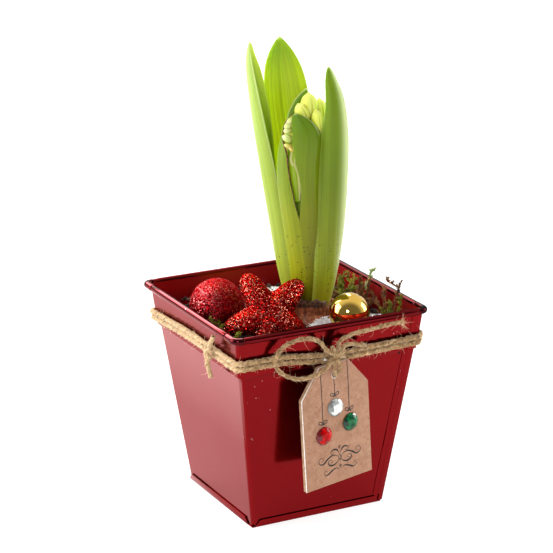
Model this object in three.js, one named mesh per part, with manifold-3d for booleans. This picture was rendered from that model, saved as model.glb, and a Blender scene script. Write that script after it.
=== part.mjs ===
// A hyacinth in bud, growing in a tapered square pot of red lacquered sheet steel.
// The pot is filled with soil, moss and a little artificial snow, and dressed with
// two round baubles, a glitter star, a double wrap of jute twine with a bow, and a
// kraft-board tag with three glued gems.
// Millimetres, +Z up. The origin is the middle of the pot's underside, and the
// pot's broad front face, which carries the tag, looks along -Y.

import * as THREE from 'three';
import { mergeVertices } from 'three/addons/utils/BufferGeometryUtils.js';
import Module from 'manifold-3d';

const wasm = await Module();
wasm.setup();

// Driving dimensions

const GAP = 0.3; // clearance between pieces that touch

const SHEET = 0.8; // thickness of the pot's steel
const POT_BASE_HALF = 39.9; // half width of the walls at the base
const CREASE_HALF = 52.3; // half width just under the crease
const CREASE_HEIGHT = 93;
const BAND_HALF = 53.65; // half width just above the crease
const LIP_HALF = 56.05; // half width where the rolled rim starts
const LIP_HEIGHT = 113.4;
const BEAD_HALF = 58; // the rolled rim's centre line
const BEAD_HEIGHT = 115.8;
const BEAD_RADIUS = 1.9;
const SEAM_WIDTH = 5.6; // folded seam at the right end of the front face
const SEAM_LIFT = 0.45;
const SEAM_FLANGE = 1.7; // how far the seam stands out past the corner
const BAND_FLANGE = 0.7; // the same, above the crease
const HEM_HEIGHT = 4.3; // tabs of the base plate, folded up round the walls
const HEM_THICKNESS = 0.5;

const SOIL_HEIGHT = 103.6; // mean level of the filling
const SOIL_SLOPE = 0.04; // it rises towards the back

const PLANT_X = 15.6; // axis of the bulb
const PLANT_Y = -1.3;
const PLANT_TURN = -27.1; // degrees; the plant's own +X looks to the right of the view
const LEAF_FOOT = 103.9; // height at which the leaves start, inside the bulb's neck
const NECK_FLOOR = 103.4;

const RED_BALL = { x: -34.5, y: 13.1, z: 112, radius: 15.4 };
const GOLD_BALL = { x: 22.6, y: -35.2, z: 113, radius: 11.2 };

const STAR = { x: -15.7, y: -17, z: 110.2, tip: 26.8, notch: 14.5, depth: 8.8, firstArm: 48 };
const STAR_LEAN = 25; // degrees that its face looks upwards
const STAR_TURN = -27.1;

const TWINE_RADIUS = 1.5;
const WRAP_SPACING = 3.4; // height between the two wraps

const TAG_WIDTH = 44.6;
const TAG_BELOW = 62.8; // from the hole down to the tag's lower edge
const TAG_SHOULDER = 9.5; // from the hole down to the cut corners
const TAG_ABOVE = 6.5; // from the hole up to the short top edge
const TAG_TOP_HALF = 9.7;
const TAG_THICKNESS = 1.4;
const TAG_HOLE = { x: -0.4, y: -60.6, z: 89.1, radius: 1.9 };
const TAG_YAW = 8.7; // degrees; its left edge stands out from the wall
const TAG_ROLL = -3.6; // its foot swings to the right
const GEM_RADIUS = 4.6;

// Colour, roughness and metalness

const FINISH = {
  lacquer: [0x8f141d, 0.22, 0.55],
  soil: [0x3a2b20, 0.95, 0],
  snow: [0xf4f6f8, 0.6, 0],
  bulb: [0x7a5238, 0.7, 0],
  leaf: [0x9fbf3c, 0.45, 0],
  bud: [0xd8e27a, 0.5, 0],
  redGlitter: [0xb01519, 0.35, 0.4],
  gold: [0xd9b24a, 0.08, 1],
  moss: [0x6f7f2c, 0.9, 0],
  jute: [0xbfa272, 0.9, 0],
  kraft: [0xc9a384, 0.85, 0],
  clearGem: [0xdfe6ea, 0.05, 0.1],
  redGem: [0xc01018, 0.08, 0.1],
  greenGem: [0x0b7a44, 0.08, 0.1],
};

const part = new THREE.Group();
const plant = new THREE.Group();
plant.position.set(PLANT_X, PLANT_Y, 0);
plant.rotation.z = THREE.MathUtils.degToRad(PLANT_TURN);
part.add(plant);

function place(name, geometry, finish, parent = part) {
  const [color, roughness, metalness] = FINISH[finish];
  const material = new THREE.MeshStandardMaterial({ color, roughness, metalness });
  const mesh = new THREE.Mesh(geometry, material);
  mesh.name = name;
  parent.add(mesh);
  return mesh;
}

// Small tools for closed bodies

const rad = THREE.MathUtils.degToRad;
const mix = THREE.MathUtils.lerp;

function bodyFrom(points, triangles) {
  const geometry = new THREE.BufferGeometry();
  geometry.setAttribute('position', new THREE.Float32BufferAttribute(points.flat(), 3));
  geometry.setIndex(triangles.flat());
  geometry.computeVertexNormals();
  return geometry;
}

function solidOf(geometry) {
  const bare = geometry.clone();
  bare.deleteAttribute('normal');
  bare.deleteAttribute('uv');
  const merged = mergeVertices(bare, 1e-4);
  const mesh = new wasm.Mesh({
    numProp: 3,
    vertProperties: new Float32Array(merged.attributes.position.array),
    triVerts: new Uint32Array(merged.index.array),
  });
  return new wasm.Manifold(mesh);
}

function geometryOf(solid) {
  const { vertProperties, triVerts } = solid.getMesh();
  const geometry = new THREE.BufferGeometry();
  geometry.setAttribute('position', new THREE.BufferAttribute(new Float32Array(vertProperties), 3));
  geometry.setIndex(new THREE.BufferAttribute(new Uint32Array(triVerts), 1));
  geometry.computeVertexNormals();
  return geometry;
}

function fuse(geometries) {
  return geometryOf(geometries.map(solidOf).reduce((sum, next) => sum.add(next)));
}

function cut(geometry, cutters) {
  return geometryOf(cutters.map(solidOf).reduce((rest, next) => rest.subtract(next), solidOf(geometry)));
}

// A skin through rings of equal length. Rings run anticlockwise seen from above
// and are stacked upwards. An end given as a point closes the skin.
function skin(rings, { foot = null, head = null, loop = false } = {}) {
  const count = rings[0].length;
  const points = rings.flat();
  const triangles = [];
  const last = loop ? rings.length : rings.length - 1;
  for (let i = 0; i < last; i += 1) {
    const low = i * count;
    const high = ((i + 1) % rings.length) * count;
    for (let j = 0; j < count; j += 1) {
      const k = (j + 1) % count;
      triangles.push([low + j, low + k, high + k], [low + j, high + k, high + j]);
    }
  }
  if (foot) {
    points.push(foot);
    for (let j = 0; j < count; j += 1) triangles.push([points.length - 1, (j + 1) % count, j]);
  }
  if (head) {
    points.push(head);
    const top = (rings.length - 1) * count;
    for (let j = 0; j < count; j += 1) triangles.push([points.length - 1, top + j, top + (j + 1) % count]);
  }
  return bodyFrom(points, triangles);
}

// A square ring with round corners, anticlockwise from the front right corner
function squareRing(half, cornerCentre, height, { cornerSteps = 4, sideSteps = 0 } = {}) {
  const corners = [[1, -1], [1, 1], [-1, 1], [-1, -1]];
  const radius = half - cornerCentre;
  const ring = [];
  corners.forEach(([sx, sy], index) => {
    for (let step = 0; step <= cornerSteps; step += 1) {
      const angle = rad(90 * (index - 1 + step / cornerSteps));
      ring.push([
        sx * cornerCentre + radius * Math.cos(angle),
        sy * cornerCentre + radius * Math.sin(angle),
        height,
      ]);
    }
    const from = ring[ring.length - 1];
    const across = 2 * cornerCentre;
    const [dx, dy] = [[0, 1], [-1, 0], [0, -1], [1, 0]][index];
    for (let step = 1; step <= sideSteps; step += 1) {
      const along = (across * step) / (sideSteps + 1);
      ring.push([from[0] + dx * along, from[1] + dy * along, height]);
    }
  });
  return ring;
}

// A tapering tube through points, with flat ends
function taperedTube(path, radii, sides) {
  const curve = new THREE.CatmullRomCurve3(path.map((p) => new THREE.Vector3(...p)));
  const steps = radii.length - 1;
  let side = new THREE.Vector3();
  const rings = radii.map((radius, i) => {
    const centre = curve.getPoint(i / steps);
    const along = curve.getTangent(i / steps);
    if (i === 0) side.set(along.z, along.x, along.y);
    side = side.clone().addScaledVector(along, -side.dot(along)).normalize();
    const other = new THREE.Vector3().crossVectors(along, side);
    return Array.from({ length: sides }, (_, j) => {
      const angle = (2 * Math.PI * j) / sides;
      return centre.clone()
        .addScaledVector(side, radius * Math.cos(angle))
        .addScaledVector(other, radius * Math.sin(angle))
        .toArray();
    });
  });
  const ends = [curve.getPoint(0).toArray(), curve.getPoint(1).toArray()];
  return skin(rings, { foot: ends[0], head: ends[1] });
}

// A cord: a round section pushed along a smooth path
function cord(path, radius, steps, sides = 8) {
  const section = new THREE.Shape();
  for (let i = 0; i < sides; i += 1) {
    const angle = (2 * Math.PI * i) / sides;
    const [x, y] = [radius * Math.cos(angle), radius * Math.sin(angle)];
    if (i === 0) section.moveTo(x, y);
    else section.lineTo(x, y);
  }
  section.closePath();
  const curve = new THREE.CatmullRomCurve3(path.map((p) => new THREE.Vector3(...p)));
  const geometry = new THREE.ExtrudeGeometry(section, { steps, extrudePath: curve, bevelEnabled: false });
  return geometryOf(solidOf(geometry));
}

// Smooth values through evenly spaced stations
function along(values, t) {
  const last = values.length - 1;
  const at = Math.min(Math.max(t, 0), 1) * last;
  const i = Math.min(Math.floor(at), last - 1);
  const f = at - i;
  const [a, b, c, d] = [i - 1, i, i + 1, i + 2].map((k) => values[Math.min(Math.max(k, 0), last)]);
  return b + 0.5 * f * (c - a + f * (2 * a - 5 * b + 4 * c - d + f * (3 * (b - c) + d - a)));
}

// Steady pseudo-random numbers from 0 to 1
function seeded(seed) {
  let state = seed;
  return () => {
    state = (state * 1664525 + 1013904223) % 4294967296;
    return state / 4294967296;
  };
}

// Pot

const wallHalf = (z) => (z < CREASE_HEIGHT
  ? mix(POT_BASE_HALF, CREASE_HALF, z / CREASE_HEIGHT)
  : mix(BAND_HALF, LIP_HALF, (z - CREASE_HEIGHT) / (LIP_HEIGHT - CREASE_HEIGHT)));
const cornerRadius = (z) => mix(1.6, 2.1, z / CREASE_HEIGHT);

// The folded seam lifts off the front face and stands out past the corner by `flange`
function potRing(half, cornerCentre, height, lift, flange = 0) {
  const ring = squareRing(half, cornerCentre, height);
  for (let k = 0; k < 4; k += 1) ring[k] = [ring[k][0] + flange, ring[k][1] - lift, height];
  const seamStart = Math.min(half - SEAM_WIDTH, cornerCentre - 1);
  ring.push(
    [seamStart, -half, height],
    [seamStart + 0.1, -half - lift, height],
    [cornerCentre - 0.4 + flange, -half - lift, height],
  );
  return ring;
}

function potWall() {
  const seamStart = HEM_HEIGHT + 0.8;
  const outer = [1.1, seamStart - 0.4, seamStart, CREASE_HEIGHT - 0.3, CREASE_HEIGHT + 0.5, LIP_HEIGHT];
  const rings = outer.map((z) => {
    const lift = z < seamStart ? 0 : SEAM_LIFT;
    const flange = z < CREASE_HEIGHT ? SEAM_FLANGE : BAND_FLANGE;
    return potRing(wallHalf(z), wallHalf(z) - cornerRadius(z), z, lift, z < seamStart ? 0 : flange);
  });
  const rimCorner = LIP_HALF - 2.1;
  for (let step = 0; step <= 7; step += 1) {
    const angle = rad(-135 + 45 * step);
    const half = BEAD_HALF + BEAD_RADIUS * Math.cos(angle);
    rings.push(potRing(half, rimCorner, BEAD_HEIGHT + BEAD_RADIUS * Math.sin(angle), 0));
  }
  const inner = [LIP_HEIGHT, CREASE_HEIGHT + 0.2, CREASE_HEIGHT - 0.8, 1.1];
  inner.forEach((z) => {
    const half = wallHalf(z) - SHEET;
    rings.push(potRing(half, half - cornerRadius(z) + SHEET, z, 0));
  });
  return skin(rings, { loop: true });
}

// The base plate has a tab folded up along each wall, its ends cut at a slant
function potBase() {
  const plateHalf = POT_BASE_HALF + GAP + HEM_THICKNESS / 2;
  const plate = skin(
    [squareRing(plateHalf, plateHalf - 2.2, 0), squareRing(plateHalf, plateHalf - 2.2, SHEET)],
    { foot: [0, 0, 0], head: [0, 0, SHEET] },
  );
  const tab = (turn, from, to) => {
    const lean = (wallHalf(HEM_HEIGHT) - wallHalf(0));
    const near = POT_BASE_HALF + GAP;
    const section = (x) => [
      [x, -near - lean, HEM_HEIGHT], [x, -near - HEM_THICKNESS - lean, HEM_HEIGHT],
      [x, -near - HEM_THICKNESS, 0.2], [x, -near, 0.2],
    ];
    const slant = 2.6;
    const left = section(from);
    const right = section(to);
    [0, 1].forEach((k) => {
      left[k][0] += slant;
      right[k][0] -= slant;
    });
    const body = skin([left, right], { foot: centreOf(left), head: centreOf(right) });
    return body.rotateZ(rad(turn));
  };
  const edge = POT_BASE_HALF - 1.6;
  return fuse([
    plate,
    tab(0, -edge + 4.5, edge),
    tab(90, -edge + 2, edge - 2),
    tab(180, -edge + 2, edge - 2),
    tab(270, -edge + 2, edge - 5),
  ]);
}

function centreOf(points) {
  return [0, 1, 2].map((k) => points.reduce((sum, p) => sum + p[k], 0) / points.length);
}

// Filling

function soilLevel(x, y) {
  const bumps = 0.9 * Math.sin(0.17 * x + 1.2) * Math.cos(0.15 * y - 0.4) + 0.5 * Math.sin(0.31 * (x - y));
  return SOIL_HEIGHT + SOIL_SLOPE * y + bumps;
}

function soilBlock() {
  const side = { cornerSteps: 2, sideSteps: 5 };
  const ringAt = (half, z) => squareRing(half, half - 1.6, z, side);
  const clear = SHEET + GAP + 0.1;
  const levels = [SHEET + 0.4, CREASE_HEIGHT - 0.5, CREASE_HEIGHT + 2, SOIL_HEIGHT - 5];
  const rings = levels.map((z) => ringAt(wallHalf(z) - clear, z));
  const topHalf = wallHalf(SOIL_HEIGHT - 4) - clear;
  [1, 0.84, 0.6, 0.32].forEach((share) => {
    const flat = squareRing(topHalf, topHalf - 1.6, 0, side);
    rings.push(flat.map(([x, y]) => [x * share, y * share, soilLevel(x * share, y * share)]));
  });
  return skin(rings, { foot: [0, 0, levels[0]], head: [0, 0, soilLevel(0, 0)] });
}

const PATCH_THICKNESS = 4;

// A low round patch that lies in a shallow seat in the soil
function patch(x, y, radius, thickness, grow = 0) {
  const geometry = new THREE.SphereGeometry(1, 10, 5);
  geometry.rotateX(rad(90));
  geometry.scale(radius + grow, radius + grow, thickness / 2 + grow);
  geometry.translate(x, y, soilLevel(x, y));
  return geometry;
}

const SNOW_FLAKES = 5;

// Artificial snow: thin flakes heaped on a low patch
function snowPatch(x, y, radius, seed) {
  const random = seeded(seed);
  const flakes = [];
  for (let i = 0; i < SNOW_FLAKES; i += 1) {
    const share = 0.6 * Math.sqrt((i + 0.5) / SNOW_FLAKES);
    const turn = 2.4 * i;
    const crown = (PATCH_THICKNESS / 2) * Math.sqrt(1 - share ** 2);
    const flake = new THREE.CylinderGeometry(1.4 + random(), 1.2 + random(), 0.7, 4);
    flake.rotateX(rad(60 + 60 * random()));
    flake.rotateZ(6.28 * random());
    flake.translate(
      x + radius * share * Math.cos(turn),
      y + radius * share * Math.sin(turn),
      soilLevel(x, y) + crown + 0.3 * random(),
    );
    flakes.push(flake);
  }
  return fuse([patch(x, y, radius, PATCH_THICKNESS), ...flakes]);
}

const SNOW_PATCHES = {
  snow_front: [9.5, -27, 4.8, 11],
  snow_back: [16, 42, 5.5, 12],
  snow_right: [43.5, -22, 4, 13],
};

// Moss: sprigs with short side shoots, standing in a low mat.
// Each sprig is [foot x, foot y, lean x, lean y, height].
const MOSS_MATS = {
  moss_right: {
    mat: [45.5, -4, 6],
    sprigs: [[46, -8, 3, -2, 14], [43, -3, -1, -4, 10], [48, -1, 1, 3, 12]],
  },
  moss_front: {
    mat: [45, -37.5, 5.8],
    sprigs: [[45, -36, 1, 2, 20], [47.5, -39, 2, 4, 21], [43, -40, -2, -2, 9]],
  },
  moss_back: {
    mat: [43.5, 15, 6.6],
    sprigs: [[44, 12, 4, -2, 14], [47, 17, 1, 2, 10], [41, 17, -3, 2, 8]],
  },
  moss_left: {
    mat: [-42.5, -4.5, 4.2],
    sprigs: [[-43, -6, -2, -2, 8], [-44, -3.5, -2, 1, 6]],
  },
};

function mossSprig([x, y, leanX, leanY, height]) {
  const foot = [x, y, soilLevel(x, y) + 0.2];
  const point = (share) => [
    foot[0] + leanX * share * share,
    foot[1] + leanY * share * share,
    foot[2] + height * share,
  ];
  const shoots = [taperedTube([foot, point(0.5), point(1)], [0.9, 0.75, 0.35], 4)];
  for (let i = 0; i < 3; i += 1) {
    const from = point(0.36 + 0.2 * i);
    const turn = 2.4 * i + x;
    const reach = 2.8 - 0.4 * i;
    const to = [from[0] + reach * Math.cos(turn), from[1] + reach * Math.sin(turn), from[2] + 2];
    shoots.push(taperedTube([from, to], [0.6, 0.35], 3));
  }
  return shoots;
}

function mossBody({ mat: [x, y, radius], sprigs }) {
  return fuse([patch(x, y, radius, PATCH_THICKNESS), ...sprigs.flatMap(mossSprig)]);
}

// Bulb, in the plant's own frame. Its papery tunic stands up round the leaves and
// is torn lower on the right.

function bulb(grow = 0) {
  const body = [[8, 66], [16, 70], [22.5, 78], [25, 87], [23, 96], [18.6, 102.4], [14.6, 107]];
  const count = 28;
  const ring = (radius, z) => Array.from({ length: count }, (_, j) => {
    const angle = (2 * Math.PI * j) / count;
    return [radius * Math.cos(angle), radius * Math.sin(angle), z];
  });
  if (grow > 0) {
    const walls = body.slice(1).map(([radius, z]) => ring(radius + grow, z));
    const foot = ring(body[0][0] + grow, body[0][1] - grow);
    return skin([foot, ...walls, ring(14.6 + grow, 125)], { foot: [0, 0, body[0][1] - grow], head: [0, 0, 125] });
  }
  const rings = body.map(([radius, z]) => ring(radius, z));
  const rimHeight = (j) => {
    const angle = (2 * Math.PI * j) / count;
    return 112.6 - 3 * Math.cos(angle) - 2 * Math.sin(angle) + 0.9 * Math.sin(5 * angle) + 0.5 * Math.sin(9 * angle);
  };
  const neckInside = (z) => mix(9.95, 14.5, (z - LEAF_FOOT) / 12);
  const edge = (wall) => Array.from({ length: count }, (_, j) => {
    const angle = (2 * Math.PI * j) / count;
    const z = rimHeight(j);
    const radius = neckInside(z) + GAP + wall;
    return [radius * Math.cos(angle), radius * Math.sin(angle), z];
  });
  rings.push(edge(0.9), edge(0));
  rings.push(ring(neckInside(NECK_FLOOR + 1) + GAP, NECK_FLOOR + 1), ring(9.4, NECK_FLOOR));
  return skin(rings, { foot: [0, 0, body[0][1]], head: [0, 0, NECK_FLOOR] });
}

// Leaves, in the plant's own frame: +X right, +Y away from the viewer.
// A leaf is a channel. Its midrib runs through stations from foot to tip, its hollow
// face looks along `facing` (degrees), `half` is half its width along the curve, and
// `wrap` is the angle in degrees through which each half bends.

const LEAVES = {
  leaf_left: {
    x: [-8.2, -12.8, -17.2, -20.8, -25.4, -29.2, -32.1, -32.6, -31.2],
    y: [0, 0, 0.8, 2.4, 5.2, 5.2, 4, 3, 2.6],
    z: [LEAF_FOOT, 115, 134, 156, 184, 210, 236, 250, 258.5],
    facing: [0, 0, 2, 4, 2, -8, -14, -16, -16],
    half: [7.2, 9.6, 12, 12.6, 12.6, 13.2, 11.4, 7, 0.8],
    wrap: [78, 80, 82, 82, 80, 78, 74, 70, 40],
    thick: [1.3, 1.7, 2, 2.1, 2, 1.9, 1.7, 1.5, 1.2],
    keel: { at: 0, height: 0.3 },
  },
  leaf_right: {
    x: [7.4, 11.4, 14.4, 16.2, 17.2, 17.2, 15.6, 12.6, 10.6],
    y: [-4, -5.6, -7.6, -8.8, -8.8, -8, -7.2, -6.6, -6.6],
    z: [LEAF_FOOT, 115, 134, 156, 182, 206, 226, 238, 244.6],
    facing: [159, 159, 152, 138, 132, 130, 132, 136, 138],
    half: [7.4, 10, 11.4, 11.1, 11.1, 10.9, 8.8, 5, 0.8],
    wrap: [57, 57, 58, 64, 66, 66, 62, 56, 40],
    thick: [1.3, 1.7, 2, 2.1, 2, 1.9, 1.7, 1.5, 1.2],
    keel: { at: 0, height: 0.6 },
  },
  leaf_back: {
    x: [1.75, 2.4, 2.2, -0.2, -5.8, -10.6, -13.2, -14.6, -15.8],
    y: [8.3, 11.6, 14.5, 16.5, 19, 19.8, 19.4, 18.4, 17.4],
    z: [LEAF_FOOT, 115, 130, 152, 184, 214, 236, 248, 257.6],
    facing: [-102, -102, -100, -96, -92, -90, -90, -90, -90],
    half: [8, 11.6, 14.6, 13.8, 13.6, 13.3, 11.4, 7.6, 0.8],
    wrap: [51, 56, 56, 44, 28, 26, 28, 34, 30],
    thick: [1.3, 1.7, 2, 2, 1.9, 1.8, 1.6, 1.5, 1.2],
    keel: { at: 0, height: 0.2 },
  },
  leaf_front: {
    x: [-0.3, -0.5, -0.9, -3, -4.9, -4.9, -3.8, -5, -7.6],
    y: [-7.8, -10, -12, -12.4, -12.4, -12.6, -12.4, -11.4, -10],
    z: [LEAF_FOOT, 115, 134, 158, 179, 194, 206, 215, 221],
    facing: [105, 103, 99, 95, 92, 92, 92, 90, 88],
    half: [6.8, 8.7, 10.4, 12.6, 14.4, 14.4, 13.4, 9.4, 1],
    wrap: [51, 50, 50, 58, 62, 60, 56, 48, 36],
    thick: [1.3, 1.6, 1.8, 1.8, 1.7, 1.6, 1.6, 1.5, 1.2],
    keel: { at: 0.55, height: 0.7 },
    slit: { from: 161.5, left: [-0.25, -0.4, -0.58, -0.66, -0.6], right: [-0.25, -0.27, -0.34, -0.4, -0.3] },
  },
  leaf_inner: {
    x: [-2.4, -3.4, -5, -7.4, -9.4, -9.6, -8, -5.6, -2.6],
    y: [4.4, 5.8, 7.6, 9.8, 11.3, 11.8, 11.5, 10.4, 9],
    z: [LEAF_FOOT, 115, 134, 156, 180, 200, 216, 226, 233],
    facing: [-60, -60, -58, -56, -54, -52, -56, -60, -64],
    half: [5, 6.6, 8, 9.4, 10, 9.6, 7.4, 4.8, 0.8],
    wrap: [55, 55, 54, 52, 50, 50, 50, 48, 40],
    thick: [0.9, 1.3, 1.5, 1.5, 1.5, 1.4, 1.3, 1.3, 1.1],
    keel: { at: 0, height: 0.2 },
  },
};

const LEAF_ROWS = 15;
const LEAF_COLUMNS = 8;
const MARGIN = 0.5; // thickness at the margin, as a share of the middle's

function leafPoint(leaf, s, t) {
  const facing = rad(along(leaf.facing, t));
  const wrap = rad(along(leaf.wrap, t));
  const half = along(leaf.half, t);
  const bend = wrap * s;
  const across = (half * Math.sin(bend)) / wrap;
  const inward = (half * (1 - Math.cos(bend))) / wrap;
  const [faceX, faceY] = [Math.cos(facing), Math.sin(facing)];
  const [sideX, sideY] = [faceY, -faceX];
  const outX = sideX * Math.sin(bend) - faceX * Math.cos(bend);
  const outY = sideY * Math.sin(bend) - faceY * Math.cos(bend);
  const x = along(leaf.x, t) + sideX * across + faceX * inward;
  const y = along(leaf.y, t) + sideY * across + faceY * inward;
  const z = along(leaf.z, t);
  const narrow = Math.min(1, half / 6);
  const ridge = leaf.keel.height * narrow * Math.exp(-(((s - leaf.keel.at) / 0.16) ** 2));
  const thick = along(leaf.thick, t) * mix(MARGIN, 1, 1 - s ** 4) * 0.5;
  return {
    outer: [x + outX * (thick + ridge), y + outY * (thick + ridge), z],
    inner: [x - outX * thick, y - outY * thick, z],
  };
}

// Gives an open sheet its thickness: both faces, and a wall along every open edge
function thicken(sheet, triangles) {
  const count = sheet.length;
  const points = [...sheet.map((p) => p.outer), ...sheet.map((p) => p.inner)];
  const faces = [];
  const edges = new Set();
  triangles.forEach(([a, b, c]) => {
    faces.push([a, b, c], [a + count, c + count, b + count]);
    [[a, b], [b, c], [c, a]].forEach(([from, to]) => edges.add(`${from} ${to}`));
  });
  edges.forEach((edge) => {
    const [from, to] = edge.split(' ').map(Number);
    if (edges.has(`${to} ${from}`)) return;
    faces.push([to, from, from + count], [to, from + count, to + count]);
  });
  return bodyFrom(points, faces);
}

function leafBody(leaf) {
  const sheet = [];
  const columnIds = [];
  const splitColumn = 3;
  for (let i = 0; i <= LEAF_ROWS; i += 1) {
    const t = 1 - (1 - i / LEAF_ROWS) ** 1.25;
    const ids = { left: [], right: [] };
    const add = (s) => sheet.push(leafPoint(leaf, s, t)) - 1;
    if (!leaf.slit) {
      for (let j = 0; j <= LEAF_COLUMNS; j += 1) ids.left.push(add((2 * j) / LEAF_COLUMNS - 1));
      ids.right = ids.left;
    } else {
      const height = along(leaf.z, t);
      const share = Math.max(0, (height - leaf.slit.from) / (leaf.z[leaf.z.length - 1] - leaf.slit.from));
      const leftEdge = along(leaf.slit.left, share);
      const rightEdge = along(leaf.slit.right, share);
      for (let j = 0; j <= splitColumn; j += 1) ids.left.push(add(mix(-1, leftEdge, j / splitColumn)));
      if (share > 0) ids.right[splitColumn] = add(rightEdge);
      else ids.right[splitColumn] = ids.left[splitColumn];
      for (let j = splitColumn + 1; j <= LEAF_COLUMNS; j += 1) {
        const along01 = (j - splitColumn) / (LEAF_COLUMNS - splitColumn);
        ids.right[j] = add(mix(rightEdge, 1, along01));
        ids.left[j] = ids.right[j];
      }
    }
    columnIds.push(ids);
  }
  const triangles = [];
  for (let i = 0; i < LEAF_ROWS; i += 1) {
    for (let j = 0; j < LEAF_COLUMNS; j += 1) {
      const side = j < splitColumn ? 'left' : 'right';
      const [low, high] = [columnIds[i][side], columnIds[i + 1][side]];
      triangles.push([low[j], low[j + 1], high[j + 1]], [low[j], high[j + 1], high[j]]);
    }
  }
  return thicken(sheet, triangles);
}

// Flower head: scape, core and ridged buds set on a golden-angle spiral

const HEAD = {
  foot: 178,
  top: 233,
  x: [0, -0.4, -2.6, -4, -3.6, -1.4, 0.8, 1.2],
  y: [0, 0, 0.4, 0.6, 0.6, 0.6, 0.4, 0.4],
  z: [LEAF_FOOT, 130, 160, 184, 198, 212, 224, 232],
  buds: 30,
};
const HEAD_RADIUS = [6.6, 8.8, 9.8, 10, 9.9, 9.4, 8, 3]; // reach of the buds, from foot to top

function budBody(root, direction, length, width, sides, rings) {
  const up = new THREE.Vector3(...direction).normalize();
  const side = new THREE.Vector3(up.y, -up.x, 0.01).normalize();
  side.addScaledVector(up, -side.dot(up)).normalize();
  const other = new THREE.Vector3().crossVectors(up, side);
  const outline = [0.34, 0.8, 1, 0.98, 0.72, 0.26];
  const start = new THREE.Vector3(...root);
  const loops = [];
  for (let i = 0; i <= rings; i += 1) {
    const share = i / rings;
    const radius = (width / 2) * along(outline, share);
    const centre = start.clone().addScaledVector(up, length * share);
    loops.push(Array.from({ length: sides }, (_, j) => {
      const angle = (2 * Math.PI * j) / sides;
      const reach = radius * (j % 2 === 0 ? 1 : 0.84);
      return centre.clone()
        .addScaledVector(side, reach * Math.cos(angle))
        .addScaledVector(other, reach * Math.sin(angle))
        .toArray();
    }));
  }
  const tip = start.clone().addScaledVector(up, length * 1.03).toArray();
  return skin(loops, { foot: root, head: tip });
}

function flowerHead() {
  const axisAt = (z) => {
    const t = (() => {
      for (let i = 0; i < 200; i += 1) if (along(HEAD.z, i / 200) >= z) return i / 200;
      return 1;
    })();
    return [along(HEAD.x, t), along(HEAD.y, t), z];
  };
  const stemPath = [LEAF_FOOT, 120, 140, 158, 172].map(axisAt);
  const corePath = [168, 178, 190, 204, 216, 225].map(axisAt);
  const pieces = [
    taperedTube(stemPath, [3.7, 3.9, 4, 4, 3.9, 3.6], 10),
    taperedTube(corePath, [2.6, 4.4, 5.6, 6, 5.6, 4.4, 2.4], 10),
  ];
  for (let i = 0; i < HEAD.buds; i += 1) {
    const share = (i + 0.5) / HEAD.buds;
    const z = mix(HEAD.foot, HEAD.top - 9, share ** 0.92);
    const turn = rad(137.5 * i + 20);
    const reach = along(HEAD_RADIUS, share);
    const length = mix(9.5, 12, share);
    const rise = mix(0.75, 2.6, share ** 1.5);
    const scale = 1 / Math.hypot(1, rise);
    const direction = [Math.cos(turn) * scale, Math.sin(turn) * scale, rise * scale];
    const start = Math.max(0.4, reach - length * scale);
    const [x, y] = axisAt(z);
    const root = [x + Math.cos(turn) * start, y + Math.sin(turn) * start, z - length * rise * scale * 0.35];
    pieces.push(budBody(root, direction, length, mix(5, 6.6, Math.min(1, 2 * share)), 6, 4));
  }
  return fuse(pieces);
}

// Star: five round arms and a domed face on both sides

function starBody(grow = 0) {
  const steps = 30;
  const shares = [0.4, 0.68, 0.87, 0.97];
  const outline = (angle) => {
    const wave = (1 + Math.cos(5 * (angle - rad(STAR.firstArm)))) / 2;
    return STAR.notch + grow + (STAR.tip - STAR.notch) * wave ** 1.1;
  };
  const ring = (share, side) => Array.from({ length: steps }, (_, j) => {
    const angle = (2 * Math.PI * j) / steps;
    const reach = outline(angle) * share;
    return [reach * Math.cos(angle), reach * Math.sin(angle), side * (STAR.depth + grow) * Math.sqrt(1 - share ** 2)];
  });
  const rings = [...shares.map((share) => ring(share, -1)), ring(1, 0), ...shares.map((share) => ring(share, 1)).reverse()];
  const body = skin(rings, { foot: [0, 0, -STAR.depth - grow], head: [0, 0, STAR.depth + grow] });
  return body.rotateX(rad(90 - STAR_LEAN)).rotateZ(rad(STAR_TURN)).translate(STAR.x, STAR.y, STAR.z);
}

function ball({ x, y, z, radius }, around, down, grow = 0) {
  const geometry = new THREE.SphereGeometry(radius + grow, around, down);
  return geometry.rotateX(rad(90)).translate(x, y, z);
}

// Twine

// Middle height of the double wrap at a place round the pot: it dips under the bow
function wrapLevel(x, y) {
  const front = Math.abs(y) > Math.abs(x) && y < 0;
  if (!front) return x < 0 ? 101.2 : mix(99.6, 100.4, (y + 56) / 112);
  return along([101.4, 101.3, 100.3, 98.3, 97.7, 98.1, 98.5, 99.1], (x + 54) / 108);
}

function wrapBody(offset) {
  const plan = squareRing(1, 0.94, 0, { cornerSteps: 3, sideSteps: 6 });
  const centres = plan.map(([px, py]) => {
    const guess = wrapLevel(px * 56, py * 56) + offset;
    const overSeam = px > 0.9 && py < 0 ? BAND_FLANGE : 0;
    const half = wallHalf(guess) + overSeam + GAP + TWINE_RADIUS;
    return new THREE.Vector3(px * half, py * half, guess);
  });
  const count = centres.length;
  const sides = 8;
  const rings = centres.map((centre, i) => {
    const ahead = centres[(i + 1) % count].clone().sub(centres[(i + count - 1) % count]).normalize();
    const out = new THREE.Vector3(ahead.y, -ahead.x, 0).normalize();
    const up = new THREE.Vector3().crossVectors(ahead, out);
    return Array.from({ length: sides }, (_, j) => {
      const angle = (2 * Math.PI * (j + 0.5)) / sides;
      return centre.clone()
        .addScaledVector(out, TWINE_RADIUS * Math.cos(angle))
        .addScaledVector(up, TWINE_RADIUS * Math.sin(angle))
        .toArray();
    });
  });
  return skin(rings, { loop: true });
}

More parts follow.
